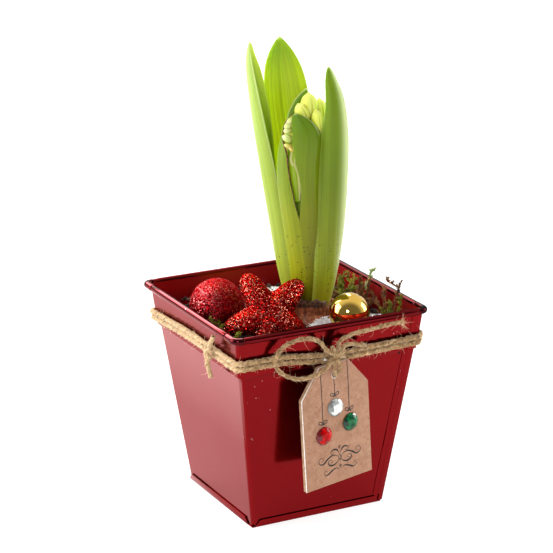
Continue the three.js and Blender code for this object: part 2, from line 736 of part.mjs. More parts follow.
const KNOT_RADIUS = 1.35;
const FRONT_KNOT = [
  [[-4.4, -60.3, 103.8], [-1, -61.5, 102], [2.6, -61.7, 100.2], [5.4, -60.4, 98.2]],
  [[-4, -60.4, 98.2], [-0.4, -62, 100], [2.4, -62.1, 102.4], [5.2, -60.8, 105]],
  [[0.2, -60.6, 98], [0.5, -62.4, 99.2], [0.5, -62.7, 102], [0.2, -60.2, 105.2]],
  [[4.6, -60.9, 103.4], [7.6, -60.8, 104.8], [10.2, -60.6, 104.2], [10.6, -60.4, 102.4], [8.2, -60.6, 100.8], [3.6, -61, 100.2]],
];
const BOW_LOOP = [
  [-5.8, -60, 104.6], [-9.6, -59.9, 109.2], [-16.8, -60, 112], [-26.4, -60, 111.4], [-33.2, -60, 107.6],
  [-35.9, -60.4, 101.8], [-33.6, -60.8, 96.4], [-27.6, -61.8, 92.4], [-20.4, -63.2, 90.9], [-12.6, -64.1, 92.3],
  [-7.2, -63.8, 94.9], [-4.6, -62.9, 96.9],
];
const BOW_TAIL = [
  [1.6, -61, 106.6], [5, -60.8, 108.9], [11.8, -60.4, 110.6], [21.6, -60.1, 111], [32.7, -60, 112],
  [41.5, -60.2, 112.1],
];
const TAG_TIE = [
  [0.6, -62.6, 96.8], [0.8, -63, 94], [0.3, -62.9, 91], [-0.2, -61.8, 89.5], [-0.4, -59.6, 89], [-0.4, -57.4, 88.8],
];
const SIDE_KNOT = [
  [[-59.5, -31.2, 104.6], [-61, -29.2, 103], [-60.8, -27.6, 101], [-59.4, -26, 98.6]],
  [[-59.4, -31.4, 98.8], [-60.8, -29.2, 100.8], [-61, -27.6, 103], [-59.4, -26.2, 104.4]],
  [[-59.8, -30.2, 104], [-60.6, -31.6, 107], [-59.8, -33.2, 110.4], [-59.4, -34.2, 112.4]],
  [[-60.4, -28.4, 100.4], [-60.6, -28.6, 96], [-59.6, -29, 91], [-58.8, -29.2, 87.6]],
];

const fusedCords = (paths, radius) => fuse(paths.map((path) => cord(path, radius, 2 * path.length - 2, 6)));

// Tag and gems, in the tag's own frame: origin at the hole, its front face at z = 0

const tag = new THREE.Group();
tag.position.set(TAG_HOLE.x, TAG_HOLE.y, TAG_HOLE.z);
tag.rotation.set(rad(90), rad(TAG_ROLL), rad(TAG_YAW), 'ZYX');
part.add(tag);

function tagBoard() {
  const half = TAG_WIDTH / 2;
  const outline = new THREE.Shape([
    [-half, -TAG_BELOW], [half, -TAG_BELOW], [half, -TAG_SHOULDER], [TAG_TOP_HALF, TAG_ABOVE],
    [-TAG_TOP_HALF, TAG_ABOVE], [-half, -TAG_SHOULDER],
  ].map(([x, y]) => new THREE.Vector2(x, y)));
  outline.holes.push(new THREE.Path().absarc(0, 0, TAG_HOLE.radius, 0, 2 * Math.PI, true));
  const board = new THREE.ExtrudeGeometry(outline, { depth: TAG_THICKNESS, bevelEnabled: false, curveSegments: 14 });
  return board.translate(0, 0, -TAG_THICKNESS);
}

const GEMS = {
  gem_clear: [-0.6, -18.7, 'clearGem'],
  gem_red: [-9.3, -33, 'redGem'],
  gem_green: [8.7, -29.8, 'greenGem'],
};

function gemBody(x, y) {
  const profile = [[0, 0], [0.94, 0], [1, 0.5], [0.82, 1.7], [0.5, 2.5], [0, 2.6]];
  const points = profile.map(([reach, height]) => new THREE.Vector2(reach * GEM_RADIUS, height));
  return new THREE.LatheGeometry(points, 12).rotateX(rad(90)).translate(x, y, GAP);
}

// Assembly

place('pot_wall', potWall(), 'lacquer');
place('pot_base', potBase(), 'lacquer');

const toPart = (geometry) => geometry.rotateZ(rad(PLANT_TURN)).translate(PLANT_X, PLANT_Y, 0);
const seats = [
  toPart(bulb(GAP)),
  ball(RED_BALL, 16, 10, 0.6),
  ball(GOLD_BALL, 14, 8, 0.6),
  starBody(GAP),
  ...Object.values(SNOW_PATCHES).map(([x, y, radius]) => patch(x, y, radius, PATCH_THICKNESS, GAP)),
  ...Object.values(MOSS_MATS).map(({ mat: [x, y, radius] }) => patch(x, y, radius, PATCH_THICKNESS, GAP)),
];
place('soil', cut(soilBlock(), seats), 'soil');

for (const [name, [x, y, radius, seed]] of Object.entries(SNOW_PATCHES)) {
  place(name, snowPatch(x, y, radius, seed), 'snow');
}
for (const [name, moss] of Object.entries(MOSS_MATS)) place(name, mossBody(moss), 'moss');

place('bulb', bulb(), 'bulb', plant);
for (const [name, leaf] of Object.entries(LEAVES)) place(name, leafBody(leaf), 'leaf', plant);
place('flower_head', flowerHead(), 'bud', plant);

place('glitter_ball', ball(RED_BALL, 20, 14), 'redGlitter');
place('glitter_star', starBody(), 'redGlitter');
place('gold_ball', ball(GOLD_BALL, 18, 12), 'gold');

place('twine_wrap_upper', wrapBody(WRAP_SPACING / 2), 'jute');
place('twine_wrap_lower', wrapBody(-WRAP_SPACING / 2), 'jute');
place('twine_knot_front', fusedCords(FRONT_KNOT, KNOT_RADIUS), 'jute');
place('twine_knot_side', fusedCords(SIDE_KNOT, KNOT_RADIUS), 'jute');
place('bow_loop', cord(BOW_LOOP, KNOT_RADIUS, 30), 'jute');
place('bow_tail', cord(BOW_TAIL, KNOT_RADIUS, 15), 'jute');
place('tag_tie', cord(TAG_TIE, 1.2, 12), 'jute');

place('gift_tag', tagBoard(), 'kraft', tag);
for (const [name, [x, y, finish]] of Object.entries(GEMS)) place(name, gemBody(x, y), finish, tag);

export default part;
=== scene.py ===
# The looks of a hyacinth in bud in a square pot of red lacquered steel, dressed with
# baubles, a glitter star, jute twine and a kraft-board tag with glued gems.
# Lengths are written in millimetres and times MM become metres.

import math
import random

import bpy
from mathutils import Matrix, Vector, noise


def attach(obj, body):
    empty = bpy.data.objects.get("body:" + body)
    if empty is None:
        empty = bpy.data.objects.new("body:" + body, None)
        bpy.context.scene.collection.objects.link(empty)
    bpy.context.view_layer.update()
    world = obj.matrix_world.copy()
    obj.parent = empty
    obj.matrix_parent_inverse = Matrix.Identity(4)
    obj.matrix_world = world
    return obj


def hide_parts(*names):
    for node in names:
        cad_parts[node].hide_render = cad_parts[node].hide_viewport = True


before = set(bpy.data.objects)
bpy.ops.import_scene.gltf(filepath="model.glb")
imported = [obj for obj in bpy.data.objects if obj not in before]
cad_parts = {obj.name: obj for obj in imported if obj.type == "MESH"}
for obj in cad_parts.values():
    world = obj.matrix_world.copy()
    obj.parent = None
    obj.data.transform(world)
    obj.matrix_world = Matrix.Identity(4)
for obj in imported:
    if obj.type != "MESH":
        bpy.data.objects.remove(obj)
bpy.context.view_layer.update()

MM = 0.001
FULL_TURN = 6.28

# Driving dimensions, the same as the solid model's

SHEET = 0.8
POT_BASE_HALF = 39.9
CREASE_HALF = 52.3
CREASE_HEIGHT = 93
BAND_HALF = 53.65
LIP_HALF = 56.05
LIP_HEIGHT = 113.4
BEAD_HALF = 58
BEAD_HEIGHT = 115.8
BEAD_RADIUS = 1.9
BEAD_CORNER = 54.4
SEAM_WIDTH = 5.6
SEAM_FLANGE = 1.7
BAND_FLANGE = 0.7
HEM_HEIGHT = 4.3
HEM_THICKNESS = 0.5
GAP = 0.3

SOIL_HEIGHT = 103.6
SOIL_SLOPE = 0.04

PLANT_X = 15.6
PLANT_Y = -1.3
PLANT_TURN = -27.1
LEAF_FOOT = 103.9

RED_BALL = (-34.5, 13.1, 112)
RED_BALL_RADIUS = 15.4
GOLD_BALL = (22.6, -35.2, 113)
GOLD_BALL_RADIUS = 11.2

STAR_CENTRE = (-15.7, -17, 110.2)
STAR_SHIFT = (-1.4, 1.2, 0)  # the coated body sits a little to the left of it and higher
STAR_TIP = 26.8
STAR_NOTCH = 14.2
STAR_DEPTH = 8.8
STAR_FIRST_ARM = 48
STAR_LEAN = 25
# Each arm's turn from the first one, round to the left, and its share of the full length
STAR_ARMS = ((0, 1.0), (72, 1.02), (149, 0.98), (216, 1.0), (288, 0.79), (360, 1.0))

TWINE_RADIUS = 1.5
KNOT_RADIUS = 1.35
FRONT_KNOT_RADIUS = 1.25
LOOP_RADIUS = 1.16  # the loop and the tail are pulled a little thinner than the knots
TIE_RADIUS = 0.95
HAIR_RADIUS = 0.055
WRAP_SPACING = 3.4
TWINE_PITCH = 9  # length of one full twist of the yarn
STRANDS = 12
STRAND_RADIUS = 0.22  # of the yarn's radius, as are the next two
STRAND_REACH = 0.74
CORE_RADIUS = 0.6
PINCH = 0.16  # how far two opposite sides of the yarn stand out
HAIRS_A_MILLIMETRE = 3.4

TAG_WIDTH = 44.6
TAG_BELOW = 62.8
TAG_SHOULDER = 9.5
TAG_ABOVE = 6.5
TAG_TOP_HALF = 9.7
TAG_THICKNESS = 3.0
TAG_PLY = 1.0  # the white-cored front ply, the rest is the board behind it
TAG_HOLE = (-0.4, -60.6, 89.1)
TAG_HOLE_RADIUS = 1.9
TAG_YAW = 8.7
TAG_ROLL = -3.6
GEM_RADIUS = 5.2
INK_HEIGHT = 0.03

CAMERA_AZIMUTH = -27.1
CAMERA_ELEVATION = 17.55
CAMERA_ROLL = -0.29
CAMERA_DISTANCE = 1240
CAMERA_LENS = 145.7  # millimetres on a sensor of 36
TARGET_RIGHT = -3.57  # the point looked at, to the right of the pot's middle
TARGET_HEIGHT = 127.4

FLOOR_GLOW = 0.78
FAR_GLOW = 0.8
DARK_SIDE = (-0.455, -0.89, 0)
ROOM_TONES = ((0.5, 1.0), (0.72, 0.22), (1.0, 0.18))
# Name, place, size and power
LAMPS = (
    ("left_softbox", (-1.1, 0.5, 0.63), (0.9, 0.9), 18),
    ("right_softbox", (1.26, -0.27, 0.39), (0.5, 1.0), 9),
    ("small_lamp", (-0.885, -1.133, 0.83), (0.28, 0.28), 8),
    ("back_light", (0, 1.6, 1.4), (2.0, 1.0), 60),
)


# Small tools


def select_only(*pieces):
    """Selects these pieces and nothing else, the first one active."""
    for item in bpy.context.selected_objects:
        item.select_set(False)
    for piece in pieces:
        piece.select_set(True)
        bpy.context.view_layer.objects.active = pieces[0]


def added(primitive, **settings):
    """The object that one of Blender's primitives adds."""
    select_only()
    primitive(**settings)
    return bpy.context.object


def linked(name, data):
    piece = bpy.data.objects.new(name, data)
    bpy.context.scene.collection.objects.link(piece)
    return piece


def in_edit_mode(piece, *actions):
    """Runs operators on the whole mesh, all of it selected."""
    select_only(piece)
    bpy.ops.object.mode_set(mode="EDIT")
    bpy.ops.mesh.select_all(action="SELECT")
    for action in actions:
        action()
    bpy.ops.object.mode_set(mode="OBJECT")
    return piece


def stitch():
    bpy.ops.mesh.remove_doubles(threshold=0.002 * MM)


def face_outward():
    bpy.ops.mesh.select_all(action="SELECT")
    bpy.ops.mesh.normals_make_consistent(inside=False)


def apply_modifier(piece, kind, **settings):
    select_only(piece)
    modifier = piece.modifiers.new(kind.lower(), kind)
    for key, value in settings.items():
        setattr(modifier, key, value)
    bpy.ops.object.modifier_apply(modifier=modifier.name)


def keep_place():
    """Moves the active object's place and size into its mesh."""
    bpy.ops.object.transform_apply(location=True, rotation=True, scale=True)


def smooth(piece, angle=60):
    select_only(piece)
    bpy.ops.object.shade_smooth_by_angle(angle=math.radians(angle))
    return piece


def reshaped(piece, rule):
    """Moves each vertex to where the rule takes it."""
    for vertex in piece.data.vertices:
        vertex.co = rule(vertex.co.copy())
    return piece


def coated(piece, *finishes):
    for finish in finishes:
        piece.data.materials.append(finish)
    return piece


def lofted(name, columns, rows, point):
    """A grid whose vertices are moved to point(u, v), in millimetres."""
    grid = bpy.ops.mesh.primitive_grid_add
    piece = added(grid, x_subdivisions=columns, y_subdivisions=rows, size=2, calc_uvs=True)
    piece.name = name
    return reshaped(piece, lambda co: Vector(point((co.x + 1) / 2, (co.y + 1) / 2)) * MM)


def joined(name, pieces):
    select_only(*pieces)
    if len(pieces) > 1:
        bpy.ops.object.join()
    pieces[0].name = name
    return pieces[0]


def copies(name, template, places):
    """One mesh that repeats a small modelled piece under each matrix, and the piece removed."""
    source = template.data
    points, faces, slots = [], [], []
    for place in places:
        first = len(points)
        points.extend(place @ vertex.co for vertex in source.vertices)
        for face in source.polygons:
            faces.append([first + k for k in face.vertices])
            slots.append(face.material_index)
    mesh = bpy.data.meshes.new(name)
    mesh.from_pydata(points, [], faces)
    mesh.polygons.foreach_set("material_index", slots)
    piece = coated(linked(name, mesh), *source.materials)
    bpy.data.objects.remove(template)
    return piece


def tube(name, lines, radius, sides, closed=False):
    """A round tube along each list of points with its share of the radius at each of them."""
    data = bpy.data.curves.new(name, "CURVE")
    data.dimensions = "3D"
    data.bevel_depth = radius * MM
    data.bevel_resolution = (sides - 4) // 2
    data.use_fill_caps = True
    for points, shares in lines:
        spline = data.splines.new("POLY")
        spline.points.add(len(points) - 1)
        spline.use_cyclic_u = closed
        for knot, place, share in zip(spline.points, points, shares):
            knot.co = (*(part * MM for part in place), 1)
            knot.radius = share
    select_only(linked(name, data))
    bpy.ops.object.convert(target="MESH")
    return bpy.context.object


def settle(piece, nodes, finish=None):
    """Gives a finished piece its finish, its body and the nodes it stands for."""
    if finish is not None:
        piece.data.materials.clear()
        piece.data.materials.append(finish)
    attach(piece, "root")
    if nodes:
        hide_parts(*nodes)
    return piece


def mix(low, high, share):
    return low + (high - low) * share


def clamp(value, low=0.0, high=1.0):
    return max(low, min(high, value))


def curve_between(a, b, c, d, share):
    """The smooth way from b to c, between a before them and d after them."""
    bend = 2 * a - 5 * b + 4 * c - d + share * (3 * (b - c) + d - a)
    return b + 0.5 * share * (c - a + share * bend)


def along(values, share):
    """Smooth values through evenly spaced stations."""
    last = len(values) - 1
    at = clamp(share) * last
    first = min(int(at), last - 1)
    near = (values[min(max(k, 0), last)] for k in range(first - 1, first + 3))
    return curve_between(*near, at - first)


def evenly(points, step, closed=False):
    """The points of a smooth line through some points, a step apart."""
    line = [Vector(place) for place in points]
    if closed:
        line = [line[-1], *line, line[0], line[1]]
    else:
        line = [line[0] * 2 - line[1], *line, line[-1] * 2 - line[-2]]
    path = []
    for near in zip(line, line[1:], line[2:], line[3:]):
        pieces = max(2, math.ceil((near[2] - near[1]).length / step))
        path += [curve_between(*near, k / pieces) for k in range(pieces)]
    return path if closed else [*path, line[-2]]


def grain(x, y, z, scale):
    return noise.noise(Vector((x, y, z)) * scale)


def stray(rng, *reaches):
    """A vector by chance, each reach the two ends of its range or one for both sides."""
    ends = (reach if isinstance(reach, tuple) else (-reach, reach) for reach in reaches)
    return Vector([rng.uniform(low, high) for low, high in ends])


def at(*spot):
    return Matrix.Translation(Vector(spot) * MM)


def turned(degrees, axis):
    return Matrix.Rotation(math.radians(degrees), 4, axis)


def spun(rng, low=0, high=FULL_TURN, axis="Z"):
    return Matrix.Rotation(rng.uniform(low, high), 4, axis)


def pointed(direction):
    """The turn that takes +Z to a direction."""
    return Vector(direction).to_track_quat("Z", "Y").to_matrix().to_4x4()


def sized(x, y, z):
    return Matrix.Diagonal((x, y, z, 1))


def to_plant(x, y, z):
    """From the plant's own frame, where +X is to the right of the view, to the part's frame."""
    turn = math.radians(PLANT_TURN)
    right = x * math.cos(turn) - y * math.sin(turn)
    back = x * math.sin(turn) + y * math.cos(turn)
    return PLANT_X + right, PLANT_Y + back, z


# Finishes: a tone is a screen colour of three parts from 0 to 255, or a plain share of white


def tone_of(value):
    """The linear colour that shaders read."""
    if not isinstance(value, tuple):
        return value, value, value, 1.0
    parts = (part / 255 for part in value)
    return (*(p / 12.92 if p < 0.0405 else ((p + 0.055) / 1.055) ** 2.4 for p in parts), 1.0)


class Finish:
    """A node material, built from a few named steps."""

    def __init__(self, name, base, roughness, **sockets):
        self.material = bpy.data.materials.new(name)
        self.material.use_nodes = True
        self.tree = self.material.node_tree
        self.shader = self.tree.nodes["Principled BSDF"]
        self.height = None
        for key, value in {"Base_Color": tone_of(base), "Roughness": roughness, **sockets}.items():
            self.shader.inputs[key.replace("_", " ")].default_value = value

    def add(self, kind, inputs=(), output=0, **settings):
        """Adds a node and gives one of its outputs."""
        made = self.tree.nodes.new(kind)
        for key, value in settings.items():
            setattr(made, key, value)
        for key, value in dict(inputs).items():
            if isinstance(value, bpy.types.NodeSocket):
                self.tree.links.new(value, made.inputs[key])
            else:
                made.inputs[key].default_value = value
        return made.outputs[output]

    def place(self, scale=(1, 1, 1), source="Object"):
        texture = self.add("ShaderNodeTexCoord", output=source)
        return self.add("ShaderNodeMapping", {"Vector": texture, "Scale": scale}, "Vector")

    def axes(self, vector):
        return self.add("ShaderNodeSeparateXYZ", {"Vector": vector}).node.outputs

    def noise(self, scale, detail=3.0, rough=0.5, vector=None, warp=0.0):
        vector = self.place() if vector is None else vector
        sizes = {"Vector": vector, "Scale": scale, "Detail": detail, "Roughness": rough}
        return self.add("ShaderNodeTexNoise", {**sizes, "Distortion": warp}, "Fac")

    def streaks(self, scale, detail, rough, source="Object"):
        """Noise stretched by a scale of its own along each axis."""
        return self.noise(1, detail, rough, self.place(scale, source))

    def cells(self, scale, output="Color"):
        return self.add("ShaderNodeTexVoronoi", {"Vector": self.place(), "Scale": scale}, output)

    def ramp(self, factor, *stops):
        made = self.add("ShaderNodeValToRGB", {"Fac": factor}).node
        elements = made.color_ramp.elements
        while len(elements) < len(stops):
            elements.new(0.5)
        for element, (position, value) in zip(elements, stops):
            element.position = position
            element.color = tone_of(value)
        return made.outputs["Color"]

    def mask(self, factor, low, high, share=1.0):
        """Nothing up to low, and the share from high on."""
        return self.ramp(factor, (low, 0.0), (high, share))

    def math(self, operation, a, b=0.0):
        return self.add("ShaderNodeMath", {0: a, 1: b}, operation=operation)

    def times(self, a, b):
        return self.math("MULTIPLY", a, b)

    def vectors(self, operation, a, b=(0, 0, 0), output="Vector"):
        return self.add("ShaderNodeVectorMath", {0: a, 1: b}, output, operation=operation)

    def blend(self, factor, a, b, kind="MIX"):
        a, b = (
            tone if isinstance(tone, bpy.types.NodeSocket) else tone_of(tone) for tone in (a, b)
        )
        inputs = {0: factor, 6: a, 7: b}
        return self.add("ShaderNodeMix", inputs, 2, data_type="RGBA", blend_type=kind)

    def set(self, name, value):
        self.tree.links.new(value, self.shader.inputs[name])

    def bump(self, height, distance, strength=1.0):
        inputs = {"Height": height, "Distance": distance * MM, "Strength": strength}
        if self.height is not None:
            inputs["Normal"] = self.height
        self.height = self.add("ShaderNodeBump", inputs, "Normal")
        self.set("Normal", self.height)


def grained(name, base, rough, pattern, stops, *bumps, **sockets):
    """A finish whose tone follows one noise pattern, with fine bumps."""
    f = Finish(name, base, rough, **sockets)
    if stops:
        f.set("Base Color", f.ramp(f.noise(*pattern), *stops))
    for grit, depth, strength in bumps:
        f.bump(f.noise(*grit), depth, strength)
    return f.material


def plain(name, base, rough, **sockets):
    return grained(name, base, rough, (), (), ((1600, 2), 0.02, 0.3), **sockets)


# A small hole in the sheet near the crease, painted as a dark spot: painted shade
SHADED_HOLE = (44.5, -52.2, 91.5)


def lacquer_finish(name, metal, shine, tint, dark, light, bead_from):
    """Clear red lacquer over bright steel; its rolled bead is painted darker, as painted shade."""
    f = Finish(name, (130, 5, 10), 0.2, Metallic=metal, Coat_Weight=0.12, Coat_Roughness=0.06)
    f.shader.inputs["Specular Tint"].default_value = (*tint, 1.0)
    place = f.place()
    x, y, z = f.axes(place)
    base = f.blend(f.noise(9, 3, 0.6), dark, light)
    base = f.blend(f.mask(f.noise(34, 5, 0.65), 0.35, 0.7, 0.3), base, (108, 4, 8))
    rim = f.math("GREATER_THAN", z, bead_from * MM)
    ends = [f.math("GREATER_THAN", f.math("ABSOLUTE", side), 53 * MM) for side in (x, y)]
    shaded_right_bead = f.math("GREATER_THAN", x, 54 * MM)
    # Painted shade: the rolled bead's base colour is darkened all round and most on its right side; it
    # is also darker at its corners.
    for part, share, tone in (
        (rim, 0.7, (92, 8, 16)),
        (f.times(*ends), 0.6, (36, 8, 12)),
        (shaded_right_bead, 0.8, (48, 8, 16)),
    ):
        base = f.blend(f.times(rim, f.times(part, share)), base, tone)
    # A painted sheen: a pale band of base colour below the crease on the left face
    normal = f.add("ShaderNodeNewGeometry", output="Normal")
    sideways = f.math("ADD", f.axes(normal)[0], f.math("GREATER_THAN", x, -35 * MM))
    painted_sheen = f.ramp(z, (0.05, 0.0), (0.088, 0.13), (0.0925, 0.13), (0.0927, 0.0))
    on_left = f.math("LESS_THAN", sideways, -0.7)
    base = f.blend(f.times(painted_sheen, on_left), base, (240, 196, 194))
    specks = f.times(f.mask(f.noise(900, 1), 0.77, 0.79), f.mask(f.noise(60, 1), 0.57, 0.62))
    base = f.blend(specks, base, (225, 190, 190))
    # Painted shade: a dark spot where the small hole is
    from_shaded_hole = f.vectors("DISTANCE", place, Vector(SHADED_HOLE) * MM, "Value")
    f.set("Base Color", f.blend(f.math("LESS_THAN", from_shaded_hole, 0.75 * MM), base, (24, 6, 8)))
    rough = f.ramp(f.noise(30, 4, 0.6), (0.3, 0.13 * shine), (0.7, 0.2 * shine))
    f.set("Roughness", f.times(rough, f.math("SUBTRACT", 1, f.times(rim, 0.68))))
    f.bump(f.noise(14, 2), 0.5, 0.12)
    f.bump(f.noise(1400, 2), 0.02, 0.25)
    return f.material


def tunic_finish():
    """Papery skin: streaked and wrinkled below, dark and flaky where it is torn at the neck."""
    f = Finish("bulb_tunic", (124, 76, 52), 0.55, Coat_Weight=0.15, Coat_Roughness=0.35)
    streaks = f.streaks((420, 420, 90), 6, 0.65)
    wrinkles = f.noise(1, 5, 0.7, f.place((150, 150, 420)), 0.8)
    both = f.math("ADD", f.times(streaks, 0.5), f.times(wrinkles, 0.5))
    skin = ((0.38, (70, 32, 16)), (0.46, (156, 84, 46)), (0.54, (206, 124, 78)), (0.64, (240, 178, 128)))
    blotches = f.ramp(f.streaks((90, 90, 230), 4, 0.6), (0.4, 0.62), (0.58, 1.0))
    tone = f.blend(1.0, f.ramp(both, *skin), blotches, "MULTIPLY")
    high = f.times(f.math("SUBTRACT", f.axes(f.place())[2], 111.5 * MM), 1 / (4 * MM))
    torn = f.mask(f.math("ADD", high, f.noise(420, 4)), 0.5, 0.85)
    flakes = ((0.36, (36, 18, 10)), (0.52, (84, 50, 28)), (0.62, (150, 100, 56)), (0.72, (196, 150, 96)))
    tone = f.blend(torn, tone, f.ramp(f.noise(640, 5, 0.75), *flakes))
    cracks = f.mask(f.streaks((500, 500, 900), 5, 0.6), 0.62, 0.68, 0.35)
    f.set("Base Color", f.blend(cracks, tone, (222, 190, 160)))
    f.bump(wrinkles, 1.1, 1.0)
    f.bump(f.noise(2200, 3), 0.12, 0.6)
    return f.material


def leaf_finish(
    name, foot, low, middle, tip, edge,
    vein=0.14, specks=0.0, pale=0.0, band=0.0, dusk=0.0, glow=0.003, through=(0.6, 1.0, 0.1),
):
    """Parallel veins run along the leaf. The leaf map's u goes across it and v along it."""
    f = Finish(
        name, middle, 0.4, Specular_IOR_Level=0.26, Coat_Weight=0.03, Coat_Roughness=0.35,
        Subsurface_Weight=0.5, Subsurface_Scale=glow, Subsurface_Radius=through,
    )
    u, v, _ = f.axes(f.place(source="UV"))
    tone = f.ramp(v, (0.1, foot), (0.21, low), (0.5, middle), (0.9, tip))
    fine = f.streaks((46, 1.1, 1), 2, 0.6, "UV")
    broad = f.streaks((9, 0.7, 1), 2, 0.5, "UV")
    veins = f.ramp(f.mask(fine, 0.36, 0.64), (0.0, 1 - vein), (1.0, 1 + vein * 0.4))
    tone = f.blend(1.0, tone, veins, "MULTIPLY")
    tone = f.blend(1.0, tone, f.ramp(broad, (0.3, 0.86), (0.7, 1.0)), "MULTIPLY")
    # Painted light: with pale set, the leaf is painted paler across u towards the edge where u is 1,
    # where side light falls
    if pale:
        side = f.mask(f.math("ADD", u, f.times(fine, 0.12)), 0.44, 0.68, pale)
        tone = f.blend(side, tone, (214, 228, 158))
    # Painted shade: the leaf is darkened past the middle across u, in its lower part
    if dusk:
        dim = f.times(f.mask(u, 0.42, 0.6, dusk), f.ramp(v, (0.28, 1.0), (0.52, 0.0)))
        tone = f.blend(dim, tone, (100, 94, 4))
    # Painted highlight: a pale strip along the leaf near its tip, where it turns to the light
    if band:
        near, far = 0.012, 0.035
        stops = ((band - far, 0.0), (band - near, 1.0), (band + near, 1.0), (band + far, 0.0))
        tone = f.blend(f.times(f.ramp(u, *stops), f.mask(v, 0.76, 0.83, 0.55)), tone, (206, 218, 160))
    off = f.math("ABSOLUTE", f.math("SUBTRACT", u, 0.5))
    tone = f.blend(f.mask(off, 0.455, 0.495, 0.5), tone, edge)
    tone = f.blend(f.mask(v, 0.965, 0.99, 0.5), tone, (214, 220, 150))
    if specks:
        low_share = f.ramp(v, (0.05, 1.0), (specks, 0.55), (specks + 0.03, 0.0))
        for size, share, reach in ((360, 0.6, 0.17), (700, 0.4, 0.2)):
            pick = f.add("ShaderNodeSeparateColor", {"Color": f.cells(size)})
            near = f.math("LESS_THAN", f.cells(size, "Distance"), reach)
            dots = f.times(near, f.math("LESS_THAN", pick, share))
            tone = f.blend(f.times(dots, low_share), tone, (26, 22, 4))
        soiled = f.times(f.ramp(v, (0.0, 0.5), (0.06, 0.0)), f.noise(260, 4))
        tone = f.blend(soiled, tone, (70, 52, 26))
    f.set("Base Color", tone)
    f.bump(fine, 0.12, 0.5)
    f.bump(f.noise(900, 2), 0.03, 0.4)
    return f.material


def bud_finish(name, foot, middle, tip):
    f = Finish(
        name, middle, 0.38, Specular_IOR_Level=0.35,
        Subsurface_Weight=0.5, Subsurface_Scale=0.003, Subsurface_Radius=(0.8, 1.0, 0.2),
    )
    reach, groove = (
        f.add("ShaderNodeAttribute", output="Fac", attribute_name=key) for key in ("reach", "groove")
    )
    streak = f.streaks((900, 900, 160), 3, 0.6)
    tone = f.ramp(reach, (0.05, foot), (0.45, middle), (0.95, tip))
    tone = f.blend(f.mask(streak, 0.4, 0.75, 0.2), tone, (206, 190, 84))
    # Painted shade: the grooves between the folded petals are darkened
    tone = f.blend(f.mask(groove, 0.55, 1.0, 0.6), tone, (172, 170, 40))
    tone = f.blend(f.ramp(groove, (0.12, 0.0), (0.3, 0.35), (0.5, 0.0)), tone, (250, 252, 190))
    f.set("Base Color", tone)
    f.bump(streak, 0.08, 0.4)
    return f.material


def glitter_finish(name, dark, middle, bright, spark, rough, size, tint):
    """Each flake has a tone and a lean of its own, as its cell of the pattern gives them."""
    f = Finish(name, middle, rough, Metallic=1.0)
    f.shader.inputs["Specular Tint"].default_value = (*tint, 1.0)
    cell = f.cells(size)
    pick = f.add("ShaderNodeSeparateColor", {"Color": cell})
    lean = f.vectors("SUBTRACT", cell, (0.5, 0.5, 0.5))
    tipped = f.vectors("ADD", f.add("ShaderNodeNewGeometry", output="Normal"), lean)
    f.set("Normal", f.vectors("NORMALIZE", tipped))
    tones = ((0.2, dark), (0.42, middle), (0.66, bright), (0.8, bright), (0.88, spark))
    f.set("Base Color", f.ramp(pick, *tones))
    return f.material


def jute_finish(name, dark, middle, light):
    """Mottled yarn, paler where it stands in the left lamp's light."""
    f = Finish(name, middle, 0.85, Sheen_Weight=0.3, Sheen_Roughness=0.5)
    tone = f.ramp(f.noise(520, 6, 0.7, warp=0.6), (0.3, dark), (0.48, middle), (0.7, light))
    tone = f.blend(1.0, tone, f.ramp(f.noise(70, 2), (0.35, 0.88), (0.65, 1.06)), "MULTIPLY")
    left = f.times(f.axes(f.place())[0], -1)
    f.set("Base Color", f.blend(f.mask(left, 0.05, 0.058, 0.4), tone, light))
    f.bump(f.noise(2400, 4, 0.7), 0.15, 0.6)
    return f.material


def kraft_finish():
    """Brown board with clouds, dark fibres, rusty spots and pale spots."""
    f = Finish("kraft_board", (166, 124, 98), 0.85)
    pulp = ((0.3, (156, 112, 86)), (0.5, (170, 126, 98)), (0.72, (184, 144, 114)))
    tone = f.ramp(f.noise(240, 6, 0.65), *pulp)
    for pattern, low, high, share, mark in (
        (f.noise(70, 3), 0.4, 0.65, 0.5, (180, 132, 106)),
        (f.streaks((900, 900, 2600), 3, 0.5), 0.66, 0.7, 0.45, (116, 74, 50)),
        (f.noise(620, 1), 0.67, 0.7, 0.6, (150, 84, 44)),
        (f.noise(760, 2), 0.68, 0.72, 0.4, (214, 184, 156)),
    ):
        tone = f.blend(f.mask(pattern, low, high, share), tone, mark)
    f.set("Base Color", tone)
    f.bump(f.noise(1400, 5, 0.7), 0.06, 0.6)
    return f.material


LACQUER = lacquer_finish(
    "red_lacquer", 1.0, 1.0, (1.0, 0.76, 0.76), (114, 4, 9), (128, 6, 12), 113.7
)
# A lighter, less metallic copy of the lacquer with a brighter base colour, for the inside walls: painted
# light
LACQUER_INSIDE_LIT = lacquer_finish(
    "red_lacquer_inside_lit", 0.5, 2.2, (1.0, 0.5, 0.5), (132, 5, 9), (148, 7, 12), 200
)
# A copy of the lacquer whose reflections are tinted dark, for the rolled bead except on its left side:
# painted shade
LACQUER_BEAD_SHADED = lacquer_finish(
    "red_lacquer_bead_shaded", 1.0, 0.8, (0.22, 0.07, 0.09), (114, 4, 9), (128, 6, 12), 113.7
)
SOIL = grained(
    "potting_soil", (44, 30, 21), 0.95, (260, 8, 0.7),
    ((0.3, (18, 12, 9)), (0.5, (46, 31, 21)), (0.7, (78, 55, 36)), (0.84, (120, 92, 64))),
    ((900, 8, 0.8), 0.6, 0.9),
)
CRUMB = grained(
    "soil_crumb", (70, 48, 34), 0.9, (120, 5, 0.7),
    ((0.35, (30, 20, 15)), (0.55, (84, 58, 40)), (0.72, (140, 108, 76))),
    ((1500, 4, 0.7), 0.3, 0.8),
)
